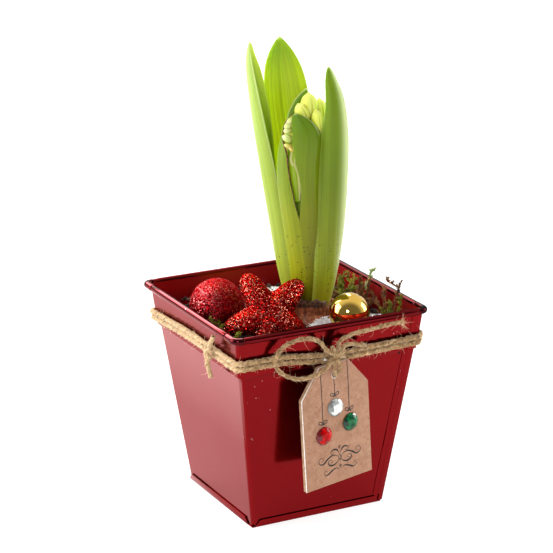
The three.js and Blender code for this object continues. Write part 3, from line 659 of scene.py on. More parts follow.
# White snow flakes with a faint glow of their own: painted light
GLOWING_SNOW = grained(
    "snow_flakes_glowing", (250, 250, 250), 0.5, (700, 3),
    ((0.35, (238, 238, 238)), (0.6, (255, 255, 255))),
    ((2500, 3), 0.15, 0.6),
    Emission_Color=(1, 1, 1, 1), Emission_Strength=0.04,
)
MOSS_GREENS, MOSS_BROWNS, MOSS_PALES = [
    grained(
        name, middle, 0.85, (300, 4, 0.7), ((0.3, dark), (0.52, middle), (0.72, light)),
        ((3000, 2), 0.1, 0.5),
    )
    for name, dark, middle, light in (
        ("moss_green", (66, 70, 8), (126, 132, 20), (178, 180, 56)),
        ("moss_brown", (52, 26, 10), (120, 72, 30), (200, 150, 84)),
        ("moss_pale", (130, 160, 80), (186, 200, 140), (226, 230, 196)),
    )
]
TUNIC = tunic_finish()
TORN = grained(
    "torn_edge", (122, 66, 44), 0.8, (500, 4), ((0.35, (84, 42, 30)), (0.65, (176, 124, 84))),
    ((2500, 3), 0.1, 0.6),
)
BUD_LIGHT = bud_finish("bud_pale", (176, 188, 40), (217, 227, 72), (238, 242, 118))
BUD_GREEN = bud_finish("bud_green", (120, 150, 30), (180, 200, 96), (224, 234, 170))
BUD_YELLOW = bud_finish("bud_yellow", (190, 170, 50), (226, 206, 90), (244, 232, 140))
PETAL = plain("petal", (206, 206, 128), 0.45)
SHEATH_GREEN = plain("young_sheath", (150, 182, 6), 0.4)
RED_GLITTER = glitter_finish(
    "glitter_red", (78, 0, 1), (146, 5, 6), (196, 30, 26), (252, 172, 146), 0.24, 2100,
    (1.0, 0.16, 0.12),
)
ROSE_GLITTER = glitter_finish(
    "glitter_rose", (88, 1, 6), (138, 8, 16), (180, 34, 42), (240, 150, 148), 0.28, 2400,
    (1.0, 0.24, 0.26),
)
GILT = grained(
    "gilt", (228, 188, 88), 0.04, (60, 2), ((0.3, (222, 178, 78)), (0.7, (236, 200, 104))),
    ((90, 2), 0.08, 0.08),
    Metallic=1.0,
)
JUTE = jute_finish("jute", (100, 70, 32), (172, 134, 84), (238, 208, 162))
# A darker copy of the jute for the yarn's core, so the gaps between the strands look shaded: painted
# shade
JUTE_SHADED_CORE = jute_finish("jute_core_shade", (66, 42, 22), (94, 62, 36), (128, 92, 56))
JUTE_PALE = jute_finish("jute_hair", (196, 162, 112), (224, 194, 146), (244, 222, 184))
KRAFT = kraft_finish()
BACK_BOARD = grained(
    "back_board", (172, 136, 106), 0.9, (300, 3, 0.6),
    ((0.3, (146, 110, 82)), (0.7, (190, 156, 124))), ((2200, 3), 0.08, 0.6),
)
BOARD_EDGE = grained(
    "board_edge", (236, 230, 222), 0.9, (900, 4),
    ((0.35, (206, 192, 176)), (0.6, (244, 241, 236))), ((2200, 3), 0.08, 0.6),
)
INK = plain("ink", (24, 22, 26), 0.7)
CLEAR_GEM, RED_GEM, GREEN_GEM = [
    grained(name, bright, 0.08, (240, 2), ((0.42, deep), (0.6, bright)), **sockets)
    for name, deep, bright, sockets in (
        ("clear_stone", (190, 196, 192), (236, 238, 230), {"Metallic": 0.4}),
        ("red_stone", (150, 0, 2), (214, 2, 2), {"Specular_IOR_Level": 0.14}),
        ("green_stone", (0, 62, 34), (2, 112, 60), {"Specular_IOR_Level": 0.3}),
    )
]
# Dark finishes for the facets on each stone's left and lower side: painted shade
CLEAR_FACET_SHADE = plain("clear_facet_shade", (140, 142, 140), 0.15, Metallic=0.3)
RED_FACET_SHADE = plain("red_facet_shade", (104, 2, 6), 0.15)
GREEN_FACET_SHADE = plain("green_facet_shade", (4, 50, 30), 0.15)
GOLD_BACK = plain("foil_back", (176, 130, 52), 0.25, Metallic=0.8)
GLINT = plain("glint", (238, 240, 240), 0.1)


# Pot


CORNER_STEPS = 8
CORNERS = ((1, -1), (1, 1), (-1, 1), (-1, -1))
SIDES = ((0, 1), (-1, 0), (0, -1), (1, 0))  # the way from each corner to the next
# Stations along a side, denser near its ends, where the rim's bead is nipped
SIDE_HALF = (
    0.004, 0.0085, 0.0107, 0.013, 0.018, 0.056, 0.061, 0.0644, 0.068, 0.073, 0.17, 0.28, 0.39
)
SIDE_SHARES = (*SIDE_HALF, 0.5, *(1 - share for share in reversed(SIDE_HALF)))
NIP_FRONT = 52.8  # where the bead is nipped beside each corner, on the front and back sides
NIP_SIDE = 47
NIP_DEPTH = 0.5
OUTSIDE_HEIGHTS = (1.1, 3, 12, 25, 40, 55, 70, 82, 90, 92.2)
BAND_HEIGHTS = (96, 101, 106, 110, 112.6)
INSIDE_HEIGHTS = (112.6, 108, 100, 94, 93.2, 92.2, 80, 50, 20, 1.1)
EDGE_RADIUS = 0.55  # of the crease's round edge

# The lock seam's section, from its left edge: along the wall, and out from it
SEAM_SECTION = (
    (0, 0.3), (0.05, -0.3), (0.3, -0.55), (2.7, -0.62), (2.95, -0.42), (3.15, -0.42),
    (3.4, -0.62), (5.8, -0.6), (6.9, -0.35), (7.15, 0.1), (6.8, 0.6), (5.5, 0.9), (0.4, 0.6),
)
FOOT_SECTION = ((4.3, 0.6), (4.3, -0.45), (5.8, -0.6), (6.9, -0.35), (7.15, 0.1), (6.8, 0.6))
FOLD_LENGTH = 7.3
# The seam with its lap past the corner, then the lap alone beside the base's tab
SEAM_BARS = (
    ("seam_strip", (5.1, 5.6, 30, 60, 91.8, 92.6, 93.3, 100, 108, 113.2), SEAM_SECTION),
    ("seam_foot", (0.9, 1.3, 3, 5, 5.4), FOOT_SECTION),
)


def wall_half(z):
    if z < CREASE_HEIGHT:
        return mix(POT_BASE_HALF, CREASE_HALF, z / CREASE_HEIGHT)
    return mix(BAND_HALF, LIP_HALF, (z - CREASE_HEIGHT) / (LIP_HEIGHT - CREASE_HEIGHT))


def square_places(corner_steps, shares):
    """Places round a square with round corners: (corner index, angle share, side share)."""
    places = []
    for corner in range(len(CORNERS)):
        places += [(corner, step / corner_steps, 0) for step in range(corner_steps + 1)]
        places += [(corner, 1, share) for share in shares]
    return places


def square_point(place, half, corner_centre):
    corner, turn, side = place
    angle = math.radians(90 * (corner - 1 + turn))
    point = []
    for sign, way, part in zip(CORNERS[corner], SIDES[corner], (math.cos(angle), math.sin(angle))):
        round_part = (half - corner_centre) * part
        point.append(sign * corner_centre + round_part + way * 2 * corner_centre * side)
    return point


def arc(start, end, steps):
    """Cosine and sine at even steps from one angle to another, in degrees."""
    angles = [math.radians(start + (end - start) * k / (steps - 1)) for k in range(steps)]
    return [(math.cos(angle), math.sin(angle)) for angle in angles]


def pot_profile():
    """The wall's section, up the outside, over the rolled rim and down the inside.
    Each station is half the wall's width, its corner's centre, its height and 1 on the bead."""

    def flat(z, inset=0):
        return wall_half(z) - inset, wall_half(z) - mix(2.2, 2.8, z / CREASE_HEIGHT), z, 0

    stations = [flat(z) for z in OUTSIDE_HEIGHTS]
    # The crease steps out and turns over in a tight round edge
    stations.append((CREASE_HALF + 0.15, CREASE_HALF - 2.6, 92.7, 0))
    for across, up in arc(-90, 0, 6):
        half = BAND_HALF + 0.15 - EDGE_RADIUS + EDGE_RADIUS * across
        stations.append((half, BAND_HALF - 2.8, 93.5 + EDGE_RADIUS * up, 0))
    stations.append((BAND_HALF + 0.02, BAND_HALF - 2.8, 94.1, 0))
    stations += [flat(z) for z in BAND_HEIGHTS]
    for across, up in arc(-140, 180, 15):
        height = BEAD_HEIGHT + BEAD_RADIUS * up
        stations.append((BEAD_HALF + BEAD_RADIUS * across, BEAD_CORNER, height, 1))
    stations += [flat(z, SHEET) for z in INSIDE_HEIGHTS]
    return [*stations, stations[0]]


def nipped(x, y, z):
    """The rolled bead, pinched where each corner was folded."""
    on_side = abs(x) > abs(y)
    reach = min(abs(x), abs(y)) - (NIP_SIDE if on_side else NIP_FRONT)
    nip = NIP_DEPTH * math.exp(-((reach / 0.42) ** 2))
    z = BEAD_HEIGHT + (z - BEAD_HEIGHT) * (1 - nip / 2.6)
    if on_side:
        return x - math.copysign(nip, x), y, z
    return x, y - math.copysign(nip, y), z


def pot_wall():
    profile = pot_profile()
    square = square_places(CORNER_STEPS, SIDE_SHARES)
    square.append(square[0])

    def point(u, v):
        half, corner_centre, z, bead = profile[round(v * (len(profile) - 1))]
        place = square[round(u * (len(square) - 1))]
        x, y = square_point(place, half, min(corner_centre, half - 0.4))
        if bead:
            return nipped(x, y, z)
        uneven = 1 + 0.0032 * grain(x, y, z, 0.03) * (abs(z - 50) < 46)
        return x * uneven, y * uneven, z

    wall = lofted("pot_wall_steel", len(square) - 1, len(profile) - 1, point)
    in_edit_mode(wall, stitch, face_outward)
    coated(wall, LACQUER, LACQUER_INSIDE_LIT, LACQUER_BEAD_SHADED)
    for face in wall.data.polygons:
        place = face.center
        inward = place.x * face.normal.x + place.y * face.normal.y < 0
        # The bead's faces, save on the left side, take the shaded copy of the lacquer: painted shade
        if place.z > (115.5 if inward else 113.6) * MM:
            face.material_index = 2 if place.x > -54 * MM else 0
        else:
            # The inside faces take the lit copy of the lacquer: painted light
            face.material_index = int(inward)
    seams = [coated(seam_bar(*entry), LACQUER) for entry in SEAM_BARS]
    wall = smooth(joined("pot_wall_steel", [wall, *seams]), 35)
    settle(wall, ["pot_wall"])


def seam_bar(name, heights, section):
    """A folded bar up the corner with the given section, closed at both ends."""
    stations = [0, *range(len(heights)), len(heights) - 1]

    def point(u, v):
        index = round(v * (len(stations) - 1))
        z = heights[stations[index]]
        half = wall_half(z)
        flange = SEAM_FLANGE if z < CREASE_HEIGHT else BAND_FLANGE
        dx, dy = section[round(u * len(section)) % len(section)]
        if index in (0, len(stations) - 1):
            dx, dy = (section[0][0] + FOLD_LENGTH) / 2, 0
        return half - SEAM_WIDTH + dx * (SEAM_WIDTH + flange) / FOLD_LENGTH, -half + dy, z

    bar = lofted(name, len(section), len(stations) - 1, point)
    return in_edit_mode(bar, stitch, face_outward)


def pot_base():
    """The base plate with a tab folded up along each wall, the tabs' ends cut at a slant."""
    half = POT_BASE_HALF + GAP + HEM_THICKNESS / 2
    cube = bpy.ops.mesh.primitive_cube_add
    plate = added(cube, size=2 * half * MM, location=(0, 0, SHEET / 2 * MM))
    plate.scale.z = SHEET / (2 * half)
    keep_place()
    apply_modifier(plate, "BEVEL", width=0.3 * MM, segments=2)
    edge = POT_BASE_HALF - 1.6
    slant = 2.6
    pieces = [plate]
    for turn, start, end in (
        (0, -edge, edge + 0.6),
        (90, 2 - edge, edge - 2),
        (180, 2 - edge, edge - 2),
        (270, -edge - 0.7, edge - 2.7),
    ):
        def corner(co):
            top, out = co.z > 0, co.y < 0
            lean = (wall_half(HEM_HEIGHT) - wall_half(0)) * top
            x = end - slant * top if co.x > 0 else start + slant * top
            y = -POT_BASE_HALF - GAP - HEM_THICKNESS * out - lean
            return Vector((x, y, HEM_HEIGHT - 0.1 if top else 0.2)) * MM

        tab = reshaped(added(cube, size=2 * MM), corner)
        tab.data.transform(turned(turn, "Z"))
        apply_modifier(tab, "BEVEL", width=0.16 * MM, segments=2)
        pieces.append(tab)
    settle(smooth(joined("pot_base_steel", pieces), 35), ["pot_base"], LACQUER)


# Filling


SOIL_STEPS = 150
SOIL_CORNER = 3.2
SOIL_INSET = SHEET + GAP + 0.1
SOIL_FOOT = 1.2
# Hollows where things stand: middle x, y, reach and depth
SEATS = (
    (PLANT_X, PLANT_Y, 18.5, 2.0),
    (RED_BALL[0], RED_BALL[1], 12.6, 2.6),
    (GOLD_BALL[0], GOLD_BALL[1], 6.2, 2.6),
)
# What keeps the crumbs away: middle x, y and radius
BLOCKS = ((PLANT_X, PLANT_Y, 15), (RED_BALL[0], RED_BALL[1], 13), (GOLD_BALL[0], GOLD_BALL[1], 7))

# Node: middle x, y, radius, seed and number of flakes, then its loose drifts of the same
# flakes, as middle x, y, z, reach x, y, z and number
SNOW_PATCHES = {
    "snow_front": (
        9.5, -27, 4.8, 11, 260,
        ((13.4, -21.8, 103, 6, 2.4, 5.4, 170), (6.5, -24.5, 103, 4.4, 2.4, 2.8, 80)),
    ),
    "snow_back": (16, 42, 5, 12, 110, ((24, 35, 104.6, 5, 3.5, 1.6, 80),)),
    "snow_right": (43.5, -22, 4, 13, 110, ((46, -30, 103.4, 4, 4, 1.2, 40),)),
}
# Single small flakes that landed on the rim and the twine
SINGLE_FLAKES = ((-7.1, -61.6, 99.6), (-6.4, -61.6, 98.9), (24, -58.4, 117.7), (29, -57.6, 117.7))


def soil_level(x, y):
    waves = 0.9 * math.sin(0.17 * x + 1.2) * math.cos(0.15 * y - 0.4)
    return SOIL_HEIGHT + SOIL_SLOPE * y + waves + 0.5 * math.sin(0.31 * (x - y))


def inside_corner(x, y, half, radius):
    """Moves a place in a square's corner back inside its round corner."""
    core = half - radius
    over_x, over_y = abs(x) - core, abs(y) - core
    share = radius / max(radius, math.hypot(over_x, over_y))
    if over_x <= 0 or over_y <= 0:
        return x, y
    return math.copysign(core + over_x * share, x), math.copysign(core + over_y * share, y)


def soil_body():
    top_half = wall_half(SOIL_HEIGHT - 4) - SOIL_INSET

    def point(u, v):
        x = mix(-top_half, top_half, u)
        y = mix(-top_half, top_half, v)
        clods = 1.3 * grain(x, y, 3, 0.16) + 0.8 * grain(x, y, 9, 0.42) + 0.45 * grain(x, y, 5, 1.1)
        z = soil_level(x, y) - 0.5 + min(clods, 0.9)
        for cx, cy, radius, depth in SEATS:
            z -= 2 * depth * clamp(1.15 - math.hypot(x - cx, y - cy) / radius)
        # It lies lower in the corner behind the glitter ball, and a little along the walls
        z -= 5 * clamp((y - x - 60) / 30)
        z -= 0.8 * clamp((max(abs(x), abs(y)) - top_half + 1.2) / 1.2)
        room = wall_half(z - 0.5) - SOIL_INSET
        x, y = (clamp(side, -room, room) for side in (x, y))
        return *inside_corner(x, y, room, SOIL_CORNER), z

    def close_below():
        drop = (0, 0, (SOIL_FOOT - SOIL_HEIGHT) * MM)
        share = (wall_half(2) - SOIL_INSET - 0.2) / top_half
        bpy.ops.mesh.region_to_loop()
        bpy.ops.mesh.extrude_region_move(TRANSFORM_OT_translate={"value": drop})
        bpy.ops.transform.resize(value=(share, share, 0), center_override=(0, 0, SOIL_FOOT * MM))
        bpy.ops.mesh.edge_face_add()

    soil = lofted("soil_surface", SOIL_STEPS, SOIL_STEPS, point)
    in_edit_mode(soil, close_below, face_outward)
    settle(smooth(soil), ["soil"], SOIL)


def covered(x, y):
    """True where the bulb, a ball, the star or the wall stands."""
    if max(abs(x), abs(y)) > 51.6:
        return True
    if any(math.hypot(x - cx, y - cy) < radius for cx, cy, radius in BLOCKS):
        return True
    dx, dy = x - STAR_CENTRE[0], y - STAR_CENTRE[1]
    turn = math.radians(PLANT_TURN)
    across = dx * math.cos(turn) + dy * math.sin(turn)
    depth = -dx * math.sin(turn) + dy * math.cos(turn)
    return abs(across) < 22 and abs(depth) < 8


def soil_crumbs():
    rng = random.Random(5)
    pieces = []
    for kind, (count, low, high, finish) in enumerate(((620, 0.5, 1.5, SOIL), (240, 0.9, 2.4, CRUMB))):
        crumb = added(bpy.ops.mesh.primitive_ico_sphere_add, subdivisions=1, radius=MM)
        coated(crumb, finish)
        reshaped(crumb, lambda co: co * (1 + 0.45 * grain(*(co / MM), 1.7 + kind)))
        places = []
        while len(places) < count:
            x, y = rng.uniform(-51, 51), rng.uniform(-51, 51)
            if covered(x, y):
                continue
            size = rng.uniform(low, high)
            angle = rng.uniform(0, FULL_TURN)
            axis = Vector((rng.random(), rng.random(), rng.random() + 0.1))
            shape = sized(size, size * rng.uniform(0.5, 1), size * rng.uniform(0.35, 0.8))
            spot = at(x, y, soil_level(x, y) + rng.uniform(-0.5, 0.5))
            places.append(spot @ Matrix.Rotation(angle, 4, axis) @ shape)
        pieces.append(copies(f"crumbs_{kind}", crumb, places))
    settle(joined("soil_crumbs", pieces), [])


def bent_flake(co):
    angle = math.atan2(co.y, co.x)
    co.x *= 1 + 0.35 * math.sin(2 * angle + 1)
    co.z += 0.2 * MM * math.sin(1.5 * angle)
    return co


def snow_patch(node, x, y, radius, seed, count, drifts):
    rng = random.Random(seed)
    base = soil_level(x, y)
    half = radius * 0.5

    def uneven(co):
        share = 1 + 0.6 * grain(co.x * half, co.y * half, co.z * 0.4 + seed, 1.3)
        return Vector((x, y, base)) * MM + Vector((co.x * half, co.y * half, co.z * 0.4)) * share * MM

    bed = added(bpy.ops.mesh.primitive_ico_sphere_add, subdivisions=4, radius=1)
    reshaped(bed, uneven)
    flake = added(bpy.ops.mesh.primitive_cylinder_add, vertices=5, radius=MM, depth=0.16 * MM)
    reshaped(flake, bent_flake)
    places = []

    def drop(px, py, pz, shrink=1.0):
        tilt = spun(rng, -1.5, 1.5, "X") @ spun(rng, -1.2, 1.2, "Y")
        size = shrink * (rng.uniform(0.4, 0.8) if rng.random() < 0.6 else rng.uniform(0.9, 1.5))
        spot = at(px, py, pz) @ spun(rng) @ tilt
        places.append(spot @ sized(size, size * rng.uniform(0.16, 0.5), 1))

    for i in range(count):
        share = math.sqrt((i + 0.5) / count)
        reach = 1.15 * radius * share
        height = base + 1.4 * math.sqrt(1.02 - share**2) + rng.uniform(-0.2, 0.6)
        drop(x + reach * math.cos(2.4 * i), y + reach * math.sin(2.4 * i), height)
    for cx, cy, cz, rx, ry, rz, number in drifts:
        for _ in range(number):
            angle, reach = rng.uniform(0, FULL_TURN), math.sqrt(rng.random())
            lift = rz * math.sqrt(max(0, 1 - reach**2)) * rng.uniform(0.2, 1.05)
            drop(cx + rx * reach * math.cos(angle), cy + ry * reach * math.sin(angle), cz + lift)
    if node == "snow_front":
        for place in SINGLE_FLAKES:
            for _ in range(2):
                drop(*(Vector(place) + stray(rng, 0.2, 0.2, 0.2)), 0.6)
    heap = joined(f"{node}_heap", [copies(f"{node}_heap", flake, places), bed])
    settle(heap, [node], GLOWING_SNOW)


# Moss mats, whose kinds are 0 green, 1 brown and 2 pale: middle x, y, radius, then sprigs as
# foot x, y, lean x, y, height and kind, then longer single strands as their points, kind and
# how leafy they are
GREEN, BROWN, PALE = range(3)
MOSS_FINISHES = (MOSS_GREENS, MOSS_BROWNS, MOSS_PALES)
MOSS_MATS = {
    "moss_right": (
        45.5, -4, 6,
        ((46, -8, 3, -2, 12, BROWN), (43, -3, -1, -4, 10, GREEN), (48, -1, 1, 3, 12, GREEN)),
        (
            ([(44, -4, 104), (45.4, -4.6, 112), (46, -5.3, 120.7)], BROWN, 1.8),
            ([(43, -7, 104), (44.5, -8.4, 110), (46, -9.6, 116.5)], BROWN, 1.8),
            ([(46, -12, 104), (46.4, -13, 114), (46, -15.9, 122.9)], BROWN, 1.5),
            ([(46, -12, 116), (48, -12.6, 122), (49, -12.3, 126), (51, -12.3, 126.6)], PALE, 1.6),
            ([(44, -16, 104), (45, -18, 109), (47, -21, 113)], BROWN, 1.8),
            ([(42, -2, 104), (43, 0, 109), (45, 2, 113.6)], GREEN, 1.8),
        ),
    ),
    "moss_front": (
        45, -37.5, 5.8,
        ((45, -36, 1, 2, 12, BROWN), (47.5, -39, 2, 4, 11, GREEN), (43, -40, -2, -2, 9, GREEN)),
        (
            ([(44, -44, 104), (44.6, -47, 108), (45.1, -49, 110.9), (49.8, -49, 113.4),
              (52.6, -49, 112.4), (54.6, -49, 110.7)], GREEN, 0.5),
            ([(47, -37, 104), (48.9, -37, 108), (51.5, -37, 118.6), (53.4, -37, 125)], BROWN, 1.6),
            ([(53.1, -37, 123.3), (49.4, -37, 125.6), (47.4, -37, 127), (45.1, -37, 128.6)],
             BROWN, 1.2),
            ([(44.4, -37, 104), (44.1, -37, 110), (43.3, -37, 123.9)], BROWN, 1.4),
            ([(46.6, -38, 104), (47, -38.4, 110), (46.4, -38, 116)], GREEN, 1.2),
            ([(50, -40, 104), (51.4, -40, 112), (52.4, -40, 119)], GREEN, 1.2),
        ),
    ),
    "moss_back": (
        43.5, 15, 6.6,
        ((44, 12, 4, -2, 12, GREEN), (47, 17, 1, 2, 10, GREEN), (41, 17, -3, 2, 8, BROWN)),
        (
            ([(46, 23, 104), (48, 21.5, 109), (49, 20.5, 113), (49, 17.6, 117.6), (49, 13.2, 118),
              (49, 13.9, 114.1), (49, 9.5, 114.2), (49, 4.4, 117.5)], GREEN, 0.5),
            ([(44, 18, 103), (46, 19, 107), (48, 20, 111)], BROWN, 1.6),
            ([(42, 12, 103), (44, 9, 108), (46, 6, 113)], GREEN, 1.6),
            ([(40, 20, 103), (42, 22, 108), (43, 24, 111)], BROWN, 1.2),
            ([(44, 4, 104), (46, 2, 109), (47, 0, 112)], BROWN, 1.4),
        ),
    ),
    "moss_left": (
        -42.5, -4.5, 4.2,
        ((-43, -6, -2, -2, 8, GREEN), (-44, -3.5, -2, 1, 6, BROWN)),
        (
            ([(-40, -8, 103), (-37, -9.4, 105), (-35.9, -9.9, 107)], GREEN, 1.6),
            ([(-41, -20, 103), (-39, -21.4, 105), (-38.2, -22, 107)], GREEN, 1.4),
        ),
    ),
}


def limit_to_pot(point):
    """Keeps a moss stem inside the walls while it is below the rim."""
    room = wall_half(min(point.z, 112)) - SHEET - 1.2
    if point.z < 119:
        return Vector((clamp(point.x, -room, room), clamp(point.y, -room, room), point.z))
    return point


def leaflet():
    """A small pointed moss leaf: a flattened cone, 1 mm long along +Z."""
    cone = bpy.ops.mesh.primitive_cone_add
    blade = added(cone, vertices=4, radius1=0.26 * MM, radius2=0, depth=MM, location=(0, 0, MM / 2))
    keep_place()
    return reshaped(blade, lambda co: Vector((co.x, co.y * 0.4, co.z)))


def moss_mat(node, x, y, radius, sprigs, strands):
    rng = random.Random(int(abs(31 * x + 7 * y)))
    stems = ([], [], [])
    leaves = ([], [], [])

    def put_leaflet(kind, spot, heading, low, high):
        size = rng.uniform(low, high)
        leaves[kind].append(at(*spot) @ pointed(heading) @ sized(size, size, size))

    def grow(start, direction, length, kind, level, thick):
        points = [Vector(start)]
        heading = Vector(direction).normalized()
        steps = max(3, int(length / 1.1))
        for _ in range(steps):
            heading = (heading + stray(rng, 0.3, 0.3, (-0.15, 0.2))).normalized()
            points.append(points[-1] + heading * length / steps)
        points = [limit_to_pot(point) for point in points]
        stems[kind].append((points, [thick * (1 - 0.7 * k / steps) for k in range(steps + 1)]))
        for k in range(1, steps + 1):
            for _ in range(5 if level else 4):
                spread = stray(rng, 1, 1, (0.1, 1.1)).normalized()
                spot = mix(points[k - 1], points[k], rng.random())
                put_leaflet(kind, spot, spread, 1.0, 2.1)
            if level < 2 and rng.random() < (0.3 if level else 0.65):
                side = heading + 1.3 * stray(rng, 1, 1, (-0.1, 0.6))
                reach = length * rng.uniform(0.22, 0.4)
                grow(points[k], side, reach, kind, level + 1, thick * 0.7)

    for sx, sy, lean_x, lean_y, height, kind in sprigs:
        foot = (sx, sy, soil_level(sx, sy) - 0.5)
        grow(foot, (lean_x, lean_y, height), height, kind, 0, 0.8)
    for path, kind, leafy in strands:
        line = [limit_to_pot(point) for point in evenly(path, 0.9)]
        last = len(line) - 1
        stems[kind].append((line, [0.9 - 0.4 * k / last for k in range(last + 1)]))
        for k in range(1, last + 1):
            ahead = (line[k] - line[k - 1]).normalized()
            for _ in range(int(leafy * 6 + rng.random())):
                spread = stray(rng, 1, 1, (-0.4, 1)).normalized()
                put_leaflet(kind, line[k], spread + 0.5 * ahead, 1.1, 2.3)
            if rng.random() < 0.34 * leafy:
                spread = stray(rng, 1, 1, (0, 0.8)).normalized()
                grow(line[k], spread + 0.6 * ahead, rng.uniform(2, 3.6), kind, 2, 0.5)
    for _ in range(int(radius * 6)):
        angle = rng.uniform(0, FULL_TURN)
        reach = radius * math.sqrt(rng.random()) * 1.05
        sx, sy = x + reach * math.cos(angle), y + reach * math.sin(angle)
        lean = stray(rng, 1, 1, (0.5, 1.3))
        foot = (sx, sy, soil_level(sx, sy) - 0.3)
        grow(foot, lean, rng.uniform(2.2, 5), int(rng.random() < 0.5), 1, 0.6)
    pieces = []
    for kind, finish in enumerate(MOSS_FINISHES):
        if stems[kind]:
            stem = tube(f"{node}_stems_{kind}", stems[kind], 0.46, 4)
            blades = copies(f"{node}_blades_{kind}", leaflet(), leaves[kind])
            pieces += [coated(stem, finish), coated(blades, finish)]
    settle(joined(f"{node}_sprigs", pieces), [node])


# Bulb, in the plant's own frame


BULB_RADII = (0.5, 8, 16, 22.5, 25, 23, 18.6, 15.4)
BULB_HEIGHTS = (66, 66.4, 70, 78, 87, 96, 102.4, 106.2)
NECK_FOOT = 104.4
# Height of the tunic's torn top round the neck, high at the front left and low at the right
RIM_HEIGHTS = (108, 108.5, 110, 111, 112, 113, 114, 115.6, 116.4, 116.6, 115.4, 108.6, 108)
# Torn skins on the bulb: from angle, to angle (degrees, 0 is right, -90 is to the viewer),
# foot height, top height, how far the top curls out
TUNIC_SCALES = (
    (-160, -78, 101.5, 110.6, 0.5),
    (-95, -30, 102.5, 108.6, 1.2),
    (-48, 8, 101, 107.4, 2.2),
    (20, 95, 102, 110.2, 0.8),
    (100, 190, 102, 113, 0.5),
    (-135, -105, 103, 113.6, 1.0),
    (-112, -101, 108, 116.2, 0.5),
    (-104, -95, 106, 115.4, 1.3),
    (-96, -88, 108, 117, 0.8),
    (-88, -80, 104, 116.2, 1.6),
    (-81, -74, 106, 114.6, 2.2),
    (-74, -66, 102, 116.4, 1.6),
    (-66, -59, 105, 113.8, 2.4),
    (-60, -50, 101.5, 112.6, 1.4),
    (-40, -34, 101, 112, 3.4),
    (-26, -18, 100.5, 115.5, 4.6),
    (-12, -6, 100.5, 113, 5.2),
)


def neck_inside(z):
    return mix(9.95, 14.5, (z - LEAF_FOOT) / 12)


def torn_top(angle):
    across, back = 3 * math.cos(angle), 3 * math.sin(angle)
    waves = 0.7 * math.sin(5 * angle) + 0.6 * math.sin(13 * angle)
    jags = 0.9 * grain(across, back, 1, 1.6)
    return along(RIM_HEIGHTS, angle / (2 * math.pi) % 1) + waves + jags


def bulb_body():
    """The papery tunic: a closed body whose neck stands up round the leaves, torn at the top."""

    def point(u, v):
        angle = 2 * math.pi * u
        top = torn_top(angle)
        if v <= 0.6:
            radius, z = along(BULB_RADII, v / 0.6), along(BULB_HEIGHTS, v / 0.6)
            radius += 0.35 * math.sin(13 * angle + 2 * math.sin(z / 4)) * clamp((z - 80) / 20)
            radius += 0.5 * grain(math.cos(angle) * 4, math.sin(angle) * 4, z * 0.2, 1)
        elif v <= 0.8:
            share = (v - 0.6) / 0.2
            z = mix(BULB_HEIGHTS[-1], top, share)
            radius = mix(15.0, neck_inside(top) + GAP + 0.75, share)
            radius += 0.25 * math.sin(17 * angle + z)
        else:
            z = mix(top, NECK_FOOT, (v - 0.8) / 0.2)
            radius = neck_inside(z) + GAP
        return to_plant(radius * math.cos(angle), radius * math.sin(angle), z)

    def close_ends():
        bpy.ops.mesh.select_all(action="DESELECT")
        bpy.ops.mesh.select_non_manifold()
        bpy.ops.mesh.fill()

    body = lofted("bulb_tunic", 120, 60, point)
    in_edit_mode(body, stitch, face_outward, close_ends, face_outward)
    bulb = joined("bulb_tunic", [body, *(tunic_scale(*entry) for entry in TUNIC_SCALES)])
    settle(smooth(bulb), ["bulb"], TUNIC)


def tunic_scale(start, end, foot, top, curl):
    def point(u, v):
        angle = math.radians(mix(start, end, u))
        ragged = 2.0 * grain(u * 9, start, 2, 1) + 1.0 * grain(u * 30, start, 5, 1)
        height = (top + ragged - foot) * mix(0.35, 1, math.sin(math.pi * u) ** 0.3)
        z = foot + height * v
        radius = mix(19.9, 15.9, clamp((z - 100) / 8)) + curl * v**3
        radius += 0.25 * grain(u * 14, z, 3, 1)
        return to_plant(radius * math.cos(angle), radius * math.sin(angle), z)

    scale = lofted("tunic_scale", 30, 12, point)
    apply_modifier(scale, "SOLIDIFY", thickness=0.18 * MM, offset=0)
    return scale


